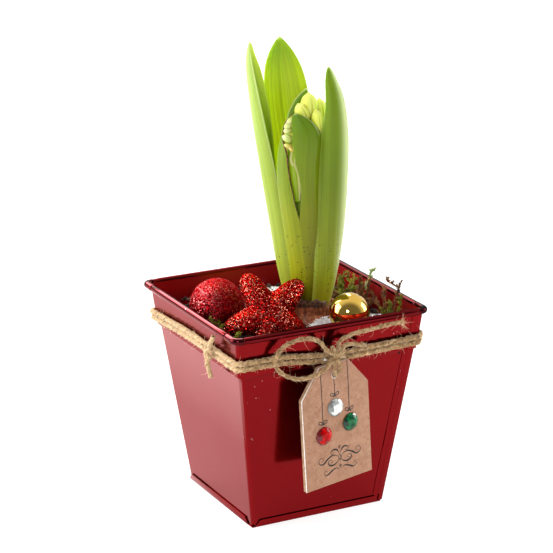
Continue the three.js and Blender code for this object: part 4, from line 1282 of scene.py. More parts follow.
# Leaves, at stations from foot to tip, in the plant's own frame. The hollow face looks along
# facing, half is half the width round the curve, wrap is the angle each half bends through.
THICK = [1.3, 1.7, 2, 2.1, 2, 1.9, 1.7, 1.5, 1.2]
LEAVES = {
    "leaf_left": dict(
        x=[-8.2, -12.8, -17.2, -20.8, -25.4, -29.2, -32.4, -33, -31.9],
        y=[0, 0, 0.8, 2.4, 5.2, 5.2, 4, 3, 2.6],
        z=[LEAF_FOOT, 115, 134, 156, 184, 210, 236, 249.4, 257.4],
        facing=[0, 0, 2, 4, 2, -8, -14, -16, -16],
        half=[7.2, 9.6, 12, 12.6, 12.6, 13, 10.4, 5.6, 1.6],
        wrap=[78, 80, 82, 82, 80, 78, 74, 70, 40],
        thick=THICK,
        keel=(0, 0.3),
    ),
    "leaf_right": dict(
        x=[7.2, 11.2, 14.2, 16.1, 17.4, 17.7, 16.3, 12.8, 10.3],
        y=[-4, -5.6, -7.6, -8.8, -8.8, -8, -7.2, -6.6, -6.6],
        z=[LEAF_FOOT, 115, 134, 156, 182, 206, 226, 239, 245.8],
        facing=[159, 159, 152, 138, 132, 130, 132, 136, 138],
        half=[7.6, 10.2, 11.6, 11.2, 11, 10.4, 7.9, 4.4, 0.8],
        wrap=[57, 57, 58, 64, 66, 66, 62, 56, 40],
        thick=THICK,
        keel=(0, 0.6),
        tuck=2.6,
    ),
    "leaf_back": dict(
        x=[1.75, 2.4, 2.2, -0.2, -5.8, -10.6, -13.2, -14.6, -15.8],
        y=[8.3, 11.6, 14.5, 16.5, 19, 19.8, 19.4, 18.4, 17.4],
        z=[LEAF_FOOT, 115, 130, 152, 184, 214, 236, 248, 257.6],
        facing=[-102, -102, -100, -96, -92, -90, -90, -90, -90],
        half=[8, 11.6, 14.6, 13.8, 13.6, 13.3, 11.4, 7.6, 0.8],
        wrap=[51, 56, 56, 44, 28, 26, 28, 34, 30],
        thick=[1.3, 1.7, 2, 2, 1.9, 1.8, 1.6, 1.5, 1.2],
        keel=(0, 0.2),
    ),
    "leaf_front": dict(
        x=[-0.3, -0.5, -0.9, -3, -4.9, -4.9, -3.8, -5, -7.6],
        y=[-7.8, -10, -12, -12.4, -12.4, -12.6, -12.4, -11.4, -10],
        z=[LEAF_FOOT, 115, 134, 158, 179, 194, 206, 215, 221],
        facing=[105, 103, 99, 95, 92, 92, 92, 90, 88],
        half=[6.8, 8.7, 10.4, 12.6, 14.4, 14.4, 13.4, 9.4, 1],
        wrap=[51, 50, 50, 58, 62, 60, 56, 48, 36],
        thick=[1.3, 1.6, 1.8, 1.8, 1.7, 1.6, 1.6, 1.5, 1.2],
        keel=(0.55, 0.7),
    ),
    "leaf_inner": dict(
        x=[-2.4, -3.4, -5, -7.4, -9.4, -9.6, -8, -4.9, -1.2],
        y=[4.4, 5.8, 7.6, 9.8, 11.3, 11.8, 11.5, 10.4, 9],
        z=[LEAF_FOOT, 115, 134, 156, 180, 200, 215, 224.4, 230.2],
        facing=[-60, -60, -58, -56, -54, -52, -56, -60, -64],
        half=[5, 6.6, 8, 9.4, 10, 9.6, 7.4, 4.8, 0.8],
        wrap=[55, 55, 54, 52, 50, 50, 50, 48, 40],
        thick=[0.9, 1.3, 1.5, 1.5, 1.5, 1.4, 1.3, 1.3, 1.1],
        keel=(0, 0.2),
    ),
}

# Each leaf's outer side, inner side and rim: tones at the foot, low, middle, tip and edge,
# then what is special to that side. The front leaf's rim is torn and has a finish of its own.
LEAF_TONES = {
    "leaf_left": (
        ((168, 172, 56), (168, 182, 58), (156, 178, 60), (168, 192, 96), (190, 204, 130),
         {"specks": 0.3}),
        ((140, 156, 28), (142, 160, 30), (148, 170, 38), (176, 190, 66), (186, 200, 90),
         {"glow": 0.005, "through": (0.85, 1.0, 0.2)}),
        ((170, 180, 60), (176, 192, 70), (172, 194, 84), (186, 204, 116), (186, 204, 116), {}),
    ),
    "leaf_back": (
        ((176, 196, 24), (176, 200, 20), (166, 196, 20), (150, 182, 22), (160, 186, 40), {}),
        # The back leaf's hollow side is painted bright yellow low down: painted light, standing in for
        # light shining through the leaf
        ((236, 222, 30), (246, 228, 30), (206, 196, 22), (134, 140, 10), (136, 144, 14),
         {"vein": 0.3, "glow": 0.008}),
        ((150, 170, 20), (150, 174, 20), (146, 172, 20), (138, 164, 20), (138, 164, 20), {}),
    ),
    "leaf_right": (
        # The right leaf's outer side is painted paler towards its right edge (pale): painted light
        ((176, 170, 34), (150, 160, 26), (112, 134, 10), (120, 150, 6), (168, 186, 84),
         {"specks": 0.34, "pale": 0.56}),
        ((140, 160, 16), (134, 166, 12), (128, 166, 12), (126, 166, 16), (160, 186, 60), {}),
        ((150, 160, 36), (140, 160, 40), (136, 162, 44), (150, 176, 70), (150, 176, 70), {}),
    ),
    "leaf_front": (
        ((84, 76, 2), (170, 172, 22), (128, 146, 8), (100, 134, 4), (144, 162, 40),
         {"specks": 0.36, "band": 0.885, "dusk": 0.6}),
        ((130, 160, 14), (126, 168, 10), (124, 166, 8), (120, 160, 10), (140, 170, 30), {}),
    ),
    "leaf_inner": (
        ((150, 170, 30), (146, 174, 20), (138, 172, 16), (140, 172, 24), (160, 184, 60), {}),
        ((112, 150, 4), (114, 152, 4), (116, 154, 4), (122, 158, 8), (160, 186, 70), {}),
        ((150, 168, 50), (160, 180, 60), (176, 196, 90), (200, 214, 130), (200, 214, 130), {}),
    ),
}

# The front leaf is split from this height up; each edge of the slit, across the leaf
SLIT_FOOT = 161.5
SLIT_SPLIT = -0.15
SLIT_LEFT = [-0.15, -0.25, -0.3, -0.375, -0.46, -0.57, -0.85, -0.95, -0.95]
SLIT_RIGHT = [-0.15, -0.05, 0.03, 0.0, -0.11, -0.24, -0.38, -0.41, -0.62]
MARGIN = 0.5  # share of the thickness left at a leaf's edges
THICKEST = 2.2
LEAF_ROWS = 96


def leaf_point(leaf, s, t):
    """A point of the leaf's middle surface, s from -1 to 1 across it and t from 0 to 1 up it."""
    facing, wrap = (math.radians(along(leaf[key], t)) for key in ("facing", "wrap"))
    # The last stretch rounds off into a hooded tip
    half = along(leaf["half"], t) * math.sqrt(1 - 0.8 * clamp((t - 0.94) / 0.06) ** 2)
    bend = wrap * s
    across = half * math.sin(bend) / wrap
    inward = half * (1 - math.cos(bend)) / wrap
    inward += 0.1 * math.sin(9 * s + 5 * t) * clamp(half / 6)
    # The near edge of one leaf bends back onto its neighbour
    inward += leaf.get("tuck", 0) * clamp((-s - 0.72) / 0.28) ** 2 * clamp((0.72 - t) / 0.12)
    middle, height = leaf["keel"]
    ridge = height * min(1, half / 6) * math.exp(-(((s - middle) / 0.16) ** 2)) / 2
    across += ridge * math.sin(bend)
    inward -= ridge * math.cos(bend)
    face_x, face_y = math.cos(facing), math.sin(facing)
    x = along(leaf["x"], t) + face_y * across + face_x * inward
    y = along(leaf["y"], t) - face_x * across + face_y * inward
    return to_plant(x, y, along(leaf["z"], t))


def leaf_panel(name, leaf, left, right, columns):
    """The part of a leaf between two edges, which may move with the height."""

    def place(u, v):
        t = 1 - (1 - clamp(v)) ** 1.25
        return mix(left(t), right(t), u), t

    panel = lofted(name, columns, LEAF_ROWS, lambda u, v: leaf_point(leaf, *place(u, v)))
    group = panel.vertex_groups.new(name="thickness")
    layer = panel.data.uv_layers.active.data
    for loop in panel.data.loops:
        s, t = place(*layer[loop.index].uv)
        layer[loop.index].uv = ((s + 1) / 2, t)
        share = along(leaf["thick"], t) * mix(MARGIN, 1, 1 - s**4) / THICKEST
        group.add([loop.vertex_index], share, "REPLACE")
    return panel


def split_leaf(node, leaf):
    """A leaf with a ragged slit from SLIT_FOOT to its tip."""

    def share(t):
        return max(0, (along(leaf["z"], t) - SLIT_FOOT) / (leaf["z"][-1] - SLIT_FOOT))

    def slit(edge, ragged, seed, scale, t):
        if share(t) <= 0:
            return SLIT_SPLIT
        return along(edge, share(t)) + ragged * grain(seed, 0, t * scale, 1) * clamp(share(t) * 12)

    def left_edge(t):
        return max(-0.985, slit(SLIT_LEFT, 0.014, 0, 60, t))

    def right_edge(t):
        return slit(SLIT_RIGHT, 0.006, 3, 50, t)

    def outer_edge(t):
        return 1 - 0.14 * clamp((share(t) - 0.74) / 0.13)

    panels = [
        leaf_panel(node, leaf, lambda t: -1, left_edge, 14),
        leaf_panel(node, leaf, right_edge, outer_edge, 26),
    ]
    return in_edit_mode(joined(node, panels), stitch)


def leaf_body(node):
    leaf = LEAVES[node]
    if node == "leaf_front":
        sheet = split_leaf(node, leaf)
    else:
        sheet = leaf_panel(node, leaf, lambda t: -1, lambda t: 1, 40)
    sheet.name = f"{node}_blade"
    sides = zip(("outer", "inner", "rim"), LEAF_TONES[node])
    finishes = [leaf_finish(f"{node}_{side}", *tones, **extra) for side, (*tones, extra) in sides]
    if node == "leaf_front":
        finishes.append(TORN)
    sheet.data.materials.clear()
    coated(sheet, *finishes)
    apply_modifier(
        sheet, "SOLIDIFY", thickness=THICKEST * MM, offset=0, vertex_group="thickness",
        material_offset=1, material_offset_rim=2,
    )
    settle(smooth(sheet, 75), [node])


# Flower head: buds that show above the leaves and in the slit, in the plant's own frame, as
# root, tip, width and finish
SHOWN_BUDS = (
    ((-0.7, -4, 214.5), (-6.1, -4, 225.2), 8.4, BUD_LIGHT),
    ((0.3, -1, 213.5), (-0.2, -1, 230.6), 9.8, BUD_LIGHT),
    ((5.4, -5, 208.5), (3.8, -5, 222.2), 7.2, BUD_LIGHT),
    ((7.6, 3, 212.5), (5.5, 3, 226.5), 7.2, BUD_LIGHT),
    ((3.2, 1.5, 209), (3.4, 1.5, 224), 7, BUD_LIGHT),
    ((-2.6, -3.4, 208), (-8, -3.4, 219), 6.4, BUD_LIGHT),
    ((-7.6, -8, 219.6), (-12, -8.6, 214.4), 3.4, BUD_GREEN),
    ((-8.2, -8, 215.2), (-13.6, -8.8, 212.9), 3.6, BUD_GREEN),
    ((-8.4, -8, 211.4), (-14, -8.8, 210.8), 3.4, BUD_GREEN),
    ((-8.2, -8.6, 205.2), (-14.6, -9, 208.2), 4.4, BUD_GREEN),
    ((-8.6, -9, 201.8), (-13.8, -9.4, 203.4), 2.5, BUD_YELLOW),
    ((-7.8, -9.4, 199.4), (-11.2, -9.8, 202.2), 2.3, BUD_YELLOW),
)
PETAL_EDGES = (
    [(-9.2, -9, 200), (-9.9, -9.4, 196.6), (-9.8, -9.4, 194.2), (-8, -9.2, 190.4),
     (-6.4, -9, 185), (-5.6, -9, 179)],
    [(-7.6, -9.2, 198), (-7.9, -9.4, 192.4), (-5.9, -9.2, 186.4), (-5.2, -9, 179.2),
     (-5.2, -8.8, 172)],
)
# A young sheath seen through the slit
SHEATH = [(-8.4, -6.6, 204), (-8.6, -7, 196), (-8, -7.2, 187), (-7, -7, 178), (-6.2, -6.6, 171)]
STEM_HEIGHTS = (104.4, 120, 140, 158, 172, 178, 190, 204, 216, 225)
STEM_SHARES = (0.92, 0.97, 1, 1, 0.97, 1.1, 1.35, 1.4, 1.1, 0.4)
HEAD_X = [0, -0.4, -2.6, -4, -3.6, -1.4, 0.8, 1.2]
HEAD_Y = [0, 0, 0.4, 0.6, 0.6, 0.6, 0.4, 0.4]
HEAD_Z = [LEAF_FOOT, 130, 160, 184, 198, 212, 224, 232]
HEAD_RADIUS = [6.6, 8.8, 9.8, 10, 9.9, 9.4, 8, 3]
HEAD_FOOT = 178
LAST_BUD_FOOT = 207
BUDS = 30
BUD_TURN = 137.5
BUD_RADII = [0.1, 0.36, 0.45, 0.49, 0.5, 0.46, 0.33, 0.04]


def axis_at(z):
    share = next((i / 400 for i in range(400) if along(HEAD_Z, i / 400) >= z), 1)
    return along(HEAD_X, share), along(HEAD_Y, share)


def bud(name, finish, root, tip, length, width, spin):
    """A closed bud whose six petals are folded over each other, from its root towards its tip."""
    piece = added(bpy.ops.mesh.primitive_uv_sphere_add, segments=36, ring_count=20, radius=0.5)
    for key in ("reach", "groove"):
        piece.data.attributes.new(key, "FLOAT", "POINT")
    reach, groove = (piece.data.attributes[key].data for key in ("reach", "groove"))
    for vertex in piece.data.vertices:
        x, y, z = vertex.co
        share = clamp(z + 0.5)
        angle = math.atan2(y, x)
        flare = math.sin(math.pi * clamp(share * 1.05 - 0.02)) ** 0.6
        fold = (1 - abs(math.sin(1.5 * angle)) ** 0.3) * flare
        radius = along(BUD_RADII, share) * (1 - 0.13 * fold)
        reach[vertex.index].value = share
        groove[vertex.index].value = fold
        vertex.co = Vector((radius * math.cos(angle), radius * math.sin(angle), share)) * MM
    piece.name = name
    coated(piece, finish)
    for face in piece.data.polygons:
        face.use_smooth = True
    turn = pointed(Vector(tip) - Vector(root)) @ Matrix.Rotation(spin, 4, "Z")
    piece.data.transform(at(*root) @ turn @ sized(width, width, length))
    return piece


def swelling(path, low, swell, start, reach):
    """A smooth line with its share of the radius, which swells between its ends."""
    line = evenly(path, 1)
    phases = [clamp(start + reach * k / len(line)) for k in range(len(line))]
    shares = [low + swell * math.sin(math.pi * phase) for phase in phases]
    return [to_plant(*place) for place in line], shares


def flower_head():
    rng = random.Random(9)
    pieces = []
    for i in range(BUDS):
        share = (i + 0.5) / BUDS
        z = mix(HEAD_FOOT, LAST_BUD_FOOT, share**0.92)
        turn = math.radians(BUD_TURN * i + 20)
        length = mix(9.5, 12, share)
        rise = mix(0.75, 2.2, share**1.5)
        scale = 1 / math.hypot(1, rise)
        start = max(0.4, along(HEAD_RADIUS, share * 0.8) - length * scale)
        x, y = axis_at(z)
        foot = z - length * rise * scale * 0.35
        root, tip = (
            to_plant(x + math.cos(turn) * reach, y + math.sin(turn) * reach, height)
            for reach, height in ((start, foot), (start + scale, foot + rise * scale))
        )
        width = mix(5.4, 7.2, min(1, 2 * share))
        finish = BUD_LIGHT if share > 0.45 else BUD_GREEN
        pieces.append(bud(f"bud_{i}", finish, root, tip, length * 1.02, width, rng.uniform(0, 1)))
    for k, (root, tip, width, finish) in enumerate(SHOWN_BUDS):
        root, tip = Vector(to_plant(*root)), Vector(to_plant(*tip))
        pieces.append(bud(f"shown_bud_{k}", finish, root, tip, (tip - root).length, width, 0.4))
    stem = [to_plant(*axis_at(z), z) for z in STEM_HEIGHTS]
    edges = [swelling(path, 0.35, 1.1, 0.1, 0.85) for path in PETAL_EDGES]
    for name, lines, radius, sides, finish in (
        ("petal_edges", edges, 0.75, 8, PETAL),
        ("sheath", [swelling(SHEATH, 0.4, 0.6, 0.15, 0.8)], 3.2, 16, SHEATH_GREEN),
        ("scape", [(stem, STEM_SHARES)], 4, 16, BUD_GREEN),
    ):
        pieces.append(smooth(coated(tube(name, lines, radius, sides), finish)))
    settle(joined("flower_head_buds", pieces), ["flower_head"])


# Ornaments


def glitter_places(mesh, count, rng, tilt, lift):
    """Places on a body's faces, spread by area, each turned and tilted by chance."""
    mesh.calc_loop_triangles()
    triangles = []
    total = 0
    for triangle in mesh.loop_triangles:
        total += triangle.area
        triangles.append((total, triangle))
    places = []
    index = 0
    step = total / count
    for k in range(count):
        target = (k + rng.random()) * step
        while triangles[index][0] < target and index < len(triangles) - 1:
            index += 1
        triangle = triangles[index][1]
        a, b, c = (mesh.vertices[i].co for i in triangle.vertices)
        p, q = rng.random(), rng.random()
        if p + q > 1:
            p, q = 1 - p, 1 - q
        point = a + (b - a) * p + (c - a) * q + triangle.normal * lift * MM
        normal = triangle.normal + Vector([rng.gauss(0, tilt) for _ in range(3)])
        size = rng.uniform(0.7, 1.25)
        turn = pointed(normal.normalized()) @ spun(rng)
        places.append(Matrix.Translation(point) @ turn @ sized(size, size, 1))
    return places


def glittered(name, node, core, finish, seed, count, radius, tilt, lift):
    """Coats a body with thin three-sided chips."""
    places = glitter_places(core.data, count, random.Random(seed), tilt, lift)
    cone = bpy.ops.mesh.primitive_cone_add
    chip = added(cone, vertices=3, radius1=radius * MM, radius2=0, depth=0.08 * MM)
    flakes = copies(f"{name}_flakes", coated(chip, finish), places)
    settle(joined(name, [coated(core, finish), flakes]), [node])


def ball(centre, radius, segments, rings):
    sphere = bpy.ops.mesh.primitive_uv_sphere_add
    place = Vector(centre) * MM
    piece = added(sphere, segments=segments, ring_count=rings, radius=radius * MM, location=place)
    keep_place()
    return smooth(piece)


def star_outline(angle):
    turn = (math.degrees(angle) - STAR_FIRST_ARM) % 360
    for (first, reach), (second, next_reach) in zip(STAR_ARMS, STAR_ARMS[1:]):
        if first <= turn <= second:
            share = (turn - first) / (second - first)
            wave = (1 + math.cos(2 * math.pi * share)) / 2
            arm = STAR_TIP * (reach if share < 0.5 else next_reach)
            return mix(STAR_NOTCH, arm, wave**1.1)
    return STAR_NOTCH


def star_body():
    turn = turned(PLANT_TURN, "Z") @ turned(90 - STAR_LEAN, "X")

    def star(co):
        angle = math.atan2(co.y, co.x)
        reach = (star_outline(angle) - 0.15) * math.hypot(co.x, co.y)
        depth = (STAR_DEPTH - 0.15) * co.z
        local = Vector((reach * math.cos(angle), reach * math.sin(angle), depth))
        return (turn @ (local + Vector(STAR_SHIFT)) + Vector(STAR_CENTRE)) * MM

    sphere = bpy.ops.mesh.primitive_uv_sphere_add
    return smooth(reshaped(added(sphere, segments=100, ring_count=44, radius=1), star))


def ornaments():
    red_ball = ball(RED_BALL, RED_BALL_RADIUS - 0.12, 64, 40)
    for name, node, core, *coat in (
        ("glitter_ball_coated", "glitter_ball", red_ball, ROSE_GLITTER, 21, 17000, 0.22, 0.5, 0.02),
        ("glitter_star_coated", "glitter_star", star_body(), RED_GLITTER, 22, 25000, 0.23, 0.6, 0.05),
    ):
        glittered(name, node, core, *coat)
    gilt = ball(GOLD_BALL, GOLD_BALL_RADIUS, 96, 64)
    gilt.name = "gold_ball_gilt"
    settle(gilt, ["gold_ball"], GILT)


# Twine


FRONT_LEVELS = [100.9, 101.1, 100.3, 98.3, 97.7, 98.1, 98.5, 99.1]
FRONT_KNOT = [
    [(-5.8, -60, 104.6), (-3.3, -61.6, 102.4), (-0.6, -62.2, 100.8), (2.4, -62, 99.6), (5.8, -61, 98.8)],
    [(-4.6, -62.9, 96.9), (-3.4, -63, 97.6), (-1.2, -62.9, 99.2), (0.8, -62.6, 101.4),
     (1.4, -61.8, 104), (1.6, -61, 106.6)],
    [(-1.8, -60.4, 105.4), (-1.2, -62.6, 103), (-0.6, -63, 100.6), (0.4, -62.6, 98), (1.2, -61.4, 97)],
    [(2, -60.8, 105), (0.9, -62.7, 102.6), (-0.4, -62.9, 100), (-1.6, -62.6, 98.2)],
    [(0.8, -62.6, 100.6), (3.4, -62, 101), (4.6, -61.6, 102.6), (4.6, -61.2, 104.2),
     (6.6, -61, 105.2), (11, -60.8, 104.8), (15, -60.5, 103.6), (19, -60.3, 102.4)],
]
SIDE_KNOT = [
    [(-59.5, -31.2, 104.6), (-61, -29.2, 103), (-60.8, -27.6, 101), (-59.4, -26, 98.6)],
    [(-59.4, -31.4, 98.8), (-60.8, -29.2, 100.8), (-61, -27.6, 103), (-59.4, -26.2, 104.4)],
    [(-59.8, -30.2, 104), (-60.6, -31.6, 107), (-59.8, -33.2, 110.4), (-59.4, -34.2, 112.4)],
    [(-60.4, -28.4, 100.4), (-60.6, -28.6, 96), (-59.6, -29, 91), (-58.8, -29.2, 87.6)],
]
TAG_TIES = [
    [(-0.9, -62.8, 98), (-1.5, -63.1, 95), (-1.1, -62.7, 91.8), (-0.7, -61.6, 89.8),
     (-0.5, -59.6, 89), (-0.4, -57.4, 88.8)],
    [(1.2, -62.6, 97.6), (1.9, -63, 94.6), (1.1, -62.7, 91.4), (0.2, -61.6, 89.8),
     (-0.2, -59.6, 89.1), (-0.3, -57.2, 88.9)],
]
BOW_LOOP = [
    (-5.8, -60, 104.6), (-9.6, -59.9, 109.2), (-16.8, -60, 112), (-26.4, -60, 111.4),
    (-33.2, -60, 107.6), (-35.9, -60.4, 101.8), (-33.6, -60.8, 96.4), (-27.6, -61.8, 92.4),
    (-20.4, -63.2, 90.9), (-12.6, -64.1, 92.3), (-7.2, -63.8, 94.9), (-4.6, -62.9, 96.9),
]
BOW_TAIL = [
    (1.6, -61, 106.6), (5, -60.8, 108.9), (11.8, -60.4, 110.6), (21.6, -60.1, 111),
    (32.7, -60, 112), (41.5, -60.2, 112.1),
]
FIBRES = []  # stray hairs of all the twine, made as one piece at the end
HAIR_TAPER = (1, 0.95, 0.9, 0.75, 0.55, 0.3)
TUFT_TAPER = (1.6, 1.5, 1.3, 1, 0.7, 0.4)
TUFT_HAIRS = 80


def wrap_level(x, y):
    """Middle height of the double wrap at a place round the pot."""
    if abs(y) > abs(x) and y < 0:
        return along(FRONT_LEVELS, (x + 54) / 108)
    if x < 0:
        return 101.2 - 0.5 * clamp((-y - 34) / 20) - 3 * clamp((y - 6) / 50) ** 1.3
    return mix(99.6, 100.4, (y + 56) / 112)


def corner_share(x, y):
    """1 on a corner of the pot, 0 away from it."""
    low, high = sorted((abs(x), abs(y)))
    return clamp((low / high - 0.9) / 0.08)


def wrap_path(offset):
    """The middle line of one turn, drawn in a little where it bends over the corners."""
    points = []
    for place in square_places(8, [step / 14 for step in range(1, 14)]):
        x, y = square_point(place, 1, 0.94)
        level = wrap_level(x * 56, y * 56) + offset
        over_seam = BAND_FLANGE if x > 0.9 and y < 0 else 0
        pressed = TWINE_RADIUS * mix(1, 0.75, corner_share(x, y))
        half = wall_half(level) + over_seam + GAP + pressed
        points.append((x * half, y * half, level))
    return points


def directions(line, closed):
    """At each point of a line: ahead, and two ways across, the first away from the pot on a
    turn round it, or else carried along without twisting."""
    ways = []
    side = None
    for i in range(len(line)):
        if closed:
            ahead = (line[(i + 1) % len(line)] - line[i - 1]).normalized()
            side = ahead.cross(Vector((0, 0, 1))).normalized()
            ways.append((ahead, side, side.cross(ahead)))
            continue
        ahead = (line[min(i + 1, len(line) - 1)] - line[max(i - 1, 0)]).normalized()
        side = side or ahead.orthogonal()
        side = (side - ahead * side.dot(ahead)).normalized()
        ways.append((ahead, side, ahead.cross(side)))
    return ways


def twine(name, points, radius, closed=False, seed=1, fuzz=1.0):
    """Fine strands laid round a core along a smooth line, as jute yarn is spun. The core is painted
    darker, as painted shade in the gaps between the strands.
    """
    rng = random.Random(seed)
    line = evenly(points, 0.62, closed)
    ways = directions(line, closed)
    length = sum((b - a).length for a, b in zip(line, line[1:]))
    if closed:
        length += (line[0] - line[-1]).length
    turns = length / TWINE_PITCH
    if closed:
        turns = max(1, round(turns))
    steps = len(line) - (not closed)
    strands = []
    for k in range(STRANDS):
        spin = 2 * math.pi * k / STRANDS
        path, shares = [], []
        for i, (point, (_, side, other)) in enumerate(zip(line, ways)):
            x, y, z = point
            angle = 2 * math.pi * turns * i / steps + spin + 0.5 * grain(x, y + 5 * k, z, 0.2)
            reach = STRAND_REACH * radius * (1 + PINCH * math.cos(2 * spin))
            reach *= 1 + 0.45 * grain(x + 9 * k, y, z, 0.3)
            flat = 1 - 0.38 * corner_share(x, y) if closed else 1
            across = side * reach * flat * math.cos(angle)
            path.append(point + across + other * reach * math.sin(angle))
            shares.append(1 + 0.7 * grain(x, y + 7 * k, z, 0.45))
        strands.append((path, shares))
    yarn = tube(f"{name}_strands", strands, STRAND_RADIUS * radius, 4, closed)
    middle = [(line, [1 - 0.2 * closed] * len(line))]
    core = tube(f"{name}_core", middle, CORE_RADIUS * radius, 8, closed)
    for _ in range(int(length * HAIRS_A_MILLIMETRE * fuzz)):
        i = rng.randrange(len(line))
        stray_hair(rng, line[i], ways[i], radius, closed)
    return smooth(joined(name, [coated(yarn, JUTE), coated(core, JUTE_SHADED_CORE)])), length


def curled(start, heading, curl, reach):
    """Five more points from a start, each turned a little further."""
    hair = [start]
    for _ in range(5):
        heading = (heading + curl).normalized()
        hair.append(hair[-1] + heading * reach / 5)
    return hair


def stray_hair(rng, point, ways, radius, on_wall):
    """A fine curl that leaves the yarn and stays clear of the walls."""
    ahead, side, other = ways
    angle = rng.uniform(-1.7, 1.7) if on_wall else rng.uniform(0, FULL_TURN)
    out = side * math.cos(angle) + other * math.sin(angle)
    long_one = rng.random() < 0.13
    reach = rng.uniform(2.6, 7) if long_one else rng.uniform(0.6, 2)
    heading = (out * rng.uniform(0.25, 1) + ahead * rng.uniform(-1.3, 1.3)).normalized()
    hair = curled(point + out * radius * 0.72, heading, 0.3 * stray(rng, 1, 1, 1), reach)
    kept = next((k for k in range(1, len(hair)) if not clear_of_walls(hair[k])), len(hair))
    if kept > 2:
        FIBRES.append((hair[:kept], HAIR_TAPER))


def clear_of_walls(point):
    """True outside the pot's walls and inside the part's box."""
    out = max(abs(point.x), abs(point.y))
    outside = out > wall_half(clamp(point.z, 0, LIP_HEIGHT)) + 0.35
    under_rim = point.z < LIP_HEIGHT or out > BEAD_HALF + BEAD_RADIUS
    return outside and under_rim and abs(point.x) < 64.5 and -68 < point.y < 62


def frayed_end():
    """The cut end of the bow's tail opens into a tuft."""
    rng = random.Random(43)
    end = Vector(BOW_TAIL[-1]) - Vector((1.2, 0, 0))
    for _ in range(TUFT_HAIRS):
        heading = stray(rng, (0.3, 1), (-0.9, 0.3), 1).normalized()
        reach = rng.uniform(1.2, 3) if rng.random() < 0.85 else rng.uniform(3.5, 7)
        curl = 0.2 * stray(rng, 1, (-0.6, 0.4), 1)
        FIBRES.append((curled(end + heading * 0.5, heading, curl, reach), TUFT_TAPER))


def twine_pieces():
    for name, offset, seed in (("upper", WRAP_SPACING / 2, 31), ("lower", -WRAP_SPACING / 2, 32)):
        wrap, _ = twine(f"jute_wrap_{name}", wrap_path(offset), TWINE_RADIUS, True, seed)
        settle(wrap, [f"twine_wrap_{name}"])
    for name, node, paths, radius, seed in (
        ("jute_knot_front", "twine_knot_front", FRONT_KNOT, FRONT_KNOT_RADIUS, 33),
        ("jute_knot_side", "twine_knot_side", SIDE_KNOT, KNOT_RADIUS, 34),
        ("jute_tag_tie", "tag_tie", TAG_TIES, TIE_RADIUS, 40),
    ):
        cords = [
            twine(f"{name}_{k}", path, radius, seed=seed + k)[0] for k, path in enumerate(paths)
        ]
        settle(joined(name, cords), [node])
    for name, node, path, seed, end in (
        ("jute_bow_loop", "bow_loop", BOW_LOOP, 41, "object"),
        ("jute_bow_tail", "bow_tail", BOW_TAIL, 42, "bare"),
    ):
        cord, length = twine(name, path, LOOP_RADIUS, seed=seed, fuzz=1.3)
        settle(cord, [node])
        line = [point * MM for point in evenly(path, 1.0)]
    frayed_end()
    settle(tube("jute_fibres", FIBRES, HAIR_RADIUS, 4), [], JUTE_PALE)


# Tag, built flat with its front face at z = 0 and its hole in the middle


TAG_PLACE = at(*TAG_HOLE) @ turned(TAG_YAW, "Z") @ turned(TAG_ROLL, "Y") @ turned(90, "X")
TAG_OUTLINE = (
    (-TAG_WIDTH / 2, -TAG_BELOW), (TAG_WIDTH / 2, -TAG_BELOW), (TAG_WIDTH / 2, -TAG_SHOULDER),
    (TAG_TOP_HALF, TAG_ABOVE), (-TAG_TOP_HALF, TAG_ABOVE), (-TAG_WIDTH / 2, -TAG_SHOULDER),
)
# Top, bottom and bevel of the two plies of board
PLIES = ((0, -TAG_PLY, 0.14), (-TAG_PLY - 0.02, -TAG_THICKNESS, 0.2))
# Middle x, y on the tag, where the drawn thread above starts, then the finishes of the bright
# stone, its facets painted dark as shade, its girdle and its glint
GEMS = {
    "gem_clear": (-0.6, -18.7, -2.4, (CLEAR_GEM, CLEAR_FACET_SHADE, CLEAR_FACET_SHADE, GLINT)),
    "gem_red": (-9.3, -33, 4.2, (RED_GEM, RED_FACET_SHADE, RED_FACET_SHADE, RED_GEM)),
    "gem_green": (8.7, -29.8, 6.2, (GREEN_GEM, GREEN_FACET_SHADE, GOLD_BACK, GLINT)),
}
FACET_ROWS = ((1.0, 0.0), (1.0, 0.45), (0.84, 1.35), (0.6, 2.1), (0.46, 2.3))
FACETS = 12
ORNAMENT = (0.8, -48.6)  # middle of the pen ornament
# The right half of the ornament; the left half mirrors it
SCROLLS = (
    [(0.5, 0.4), (2.6, 1.9), (5.6, 2.3), (8.6, 0.9), (11.2, -0.9), (13.6, -0.3), (14.2, 1.7),
     (12.8, 3), (11.2, 2.3), (11.3, 0.9), (12.5, 0.8)],
    [(0.5, -0.6), (2.4, -2.6), (5, -3.4), (7.3, -2.5), (7.8, -0.7), (6.5, 0.2), (5.2, -0.5),
     (5.5, -1.6), (6.4, -1.5)],
    [(0.4, 2.2), (1.4, 4.6), (3.6, 5.6), (5.7, 4.8), (5.7, 3.3), (4.5, 3), (4.1, 3.9)],
    [(0.6, -6.8), (3, -5.6), (6, -6.6), (8.8, -8), (10.8, -7.1), (10.6, -5.6), (9.3, -5.4),
     (9.2, -6.4)],
)
LOZENGES = ((2.1, -1.7, 1.0), (-3.9, -5.7, 0.7), (7.3, 5.5, 0.7))  # top, bottom, half width


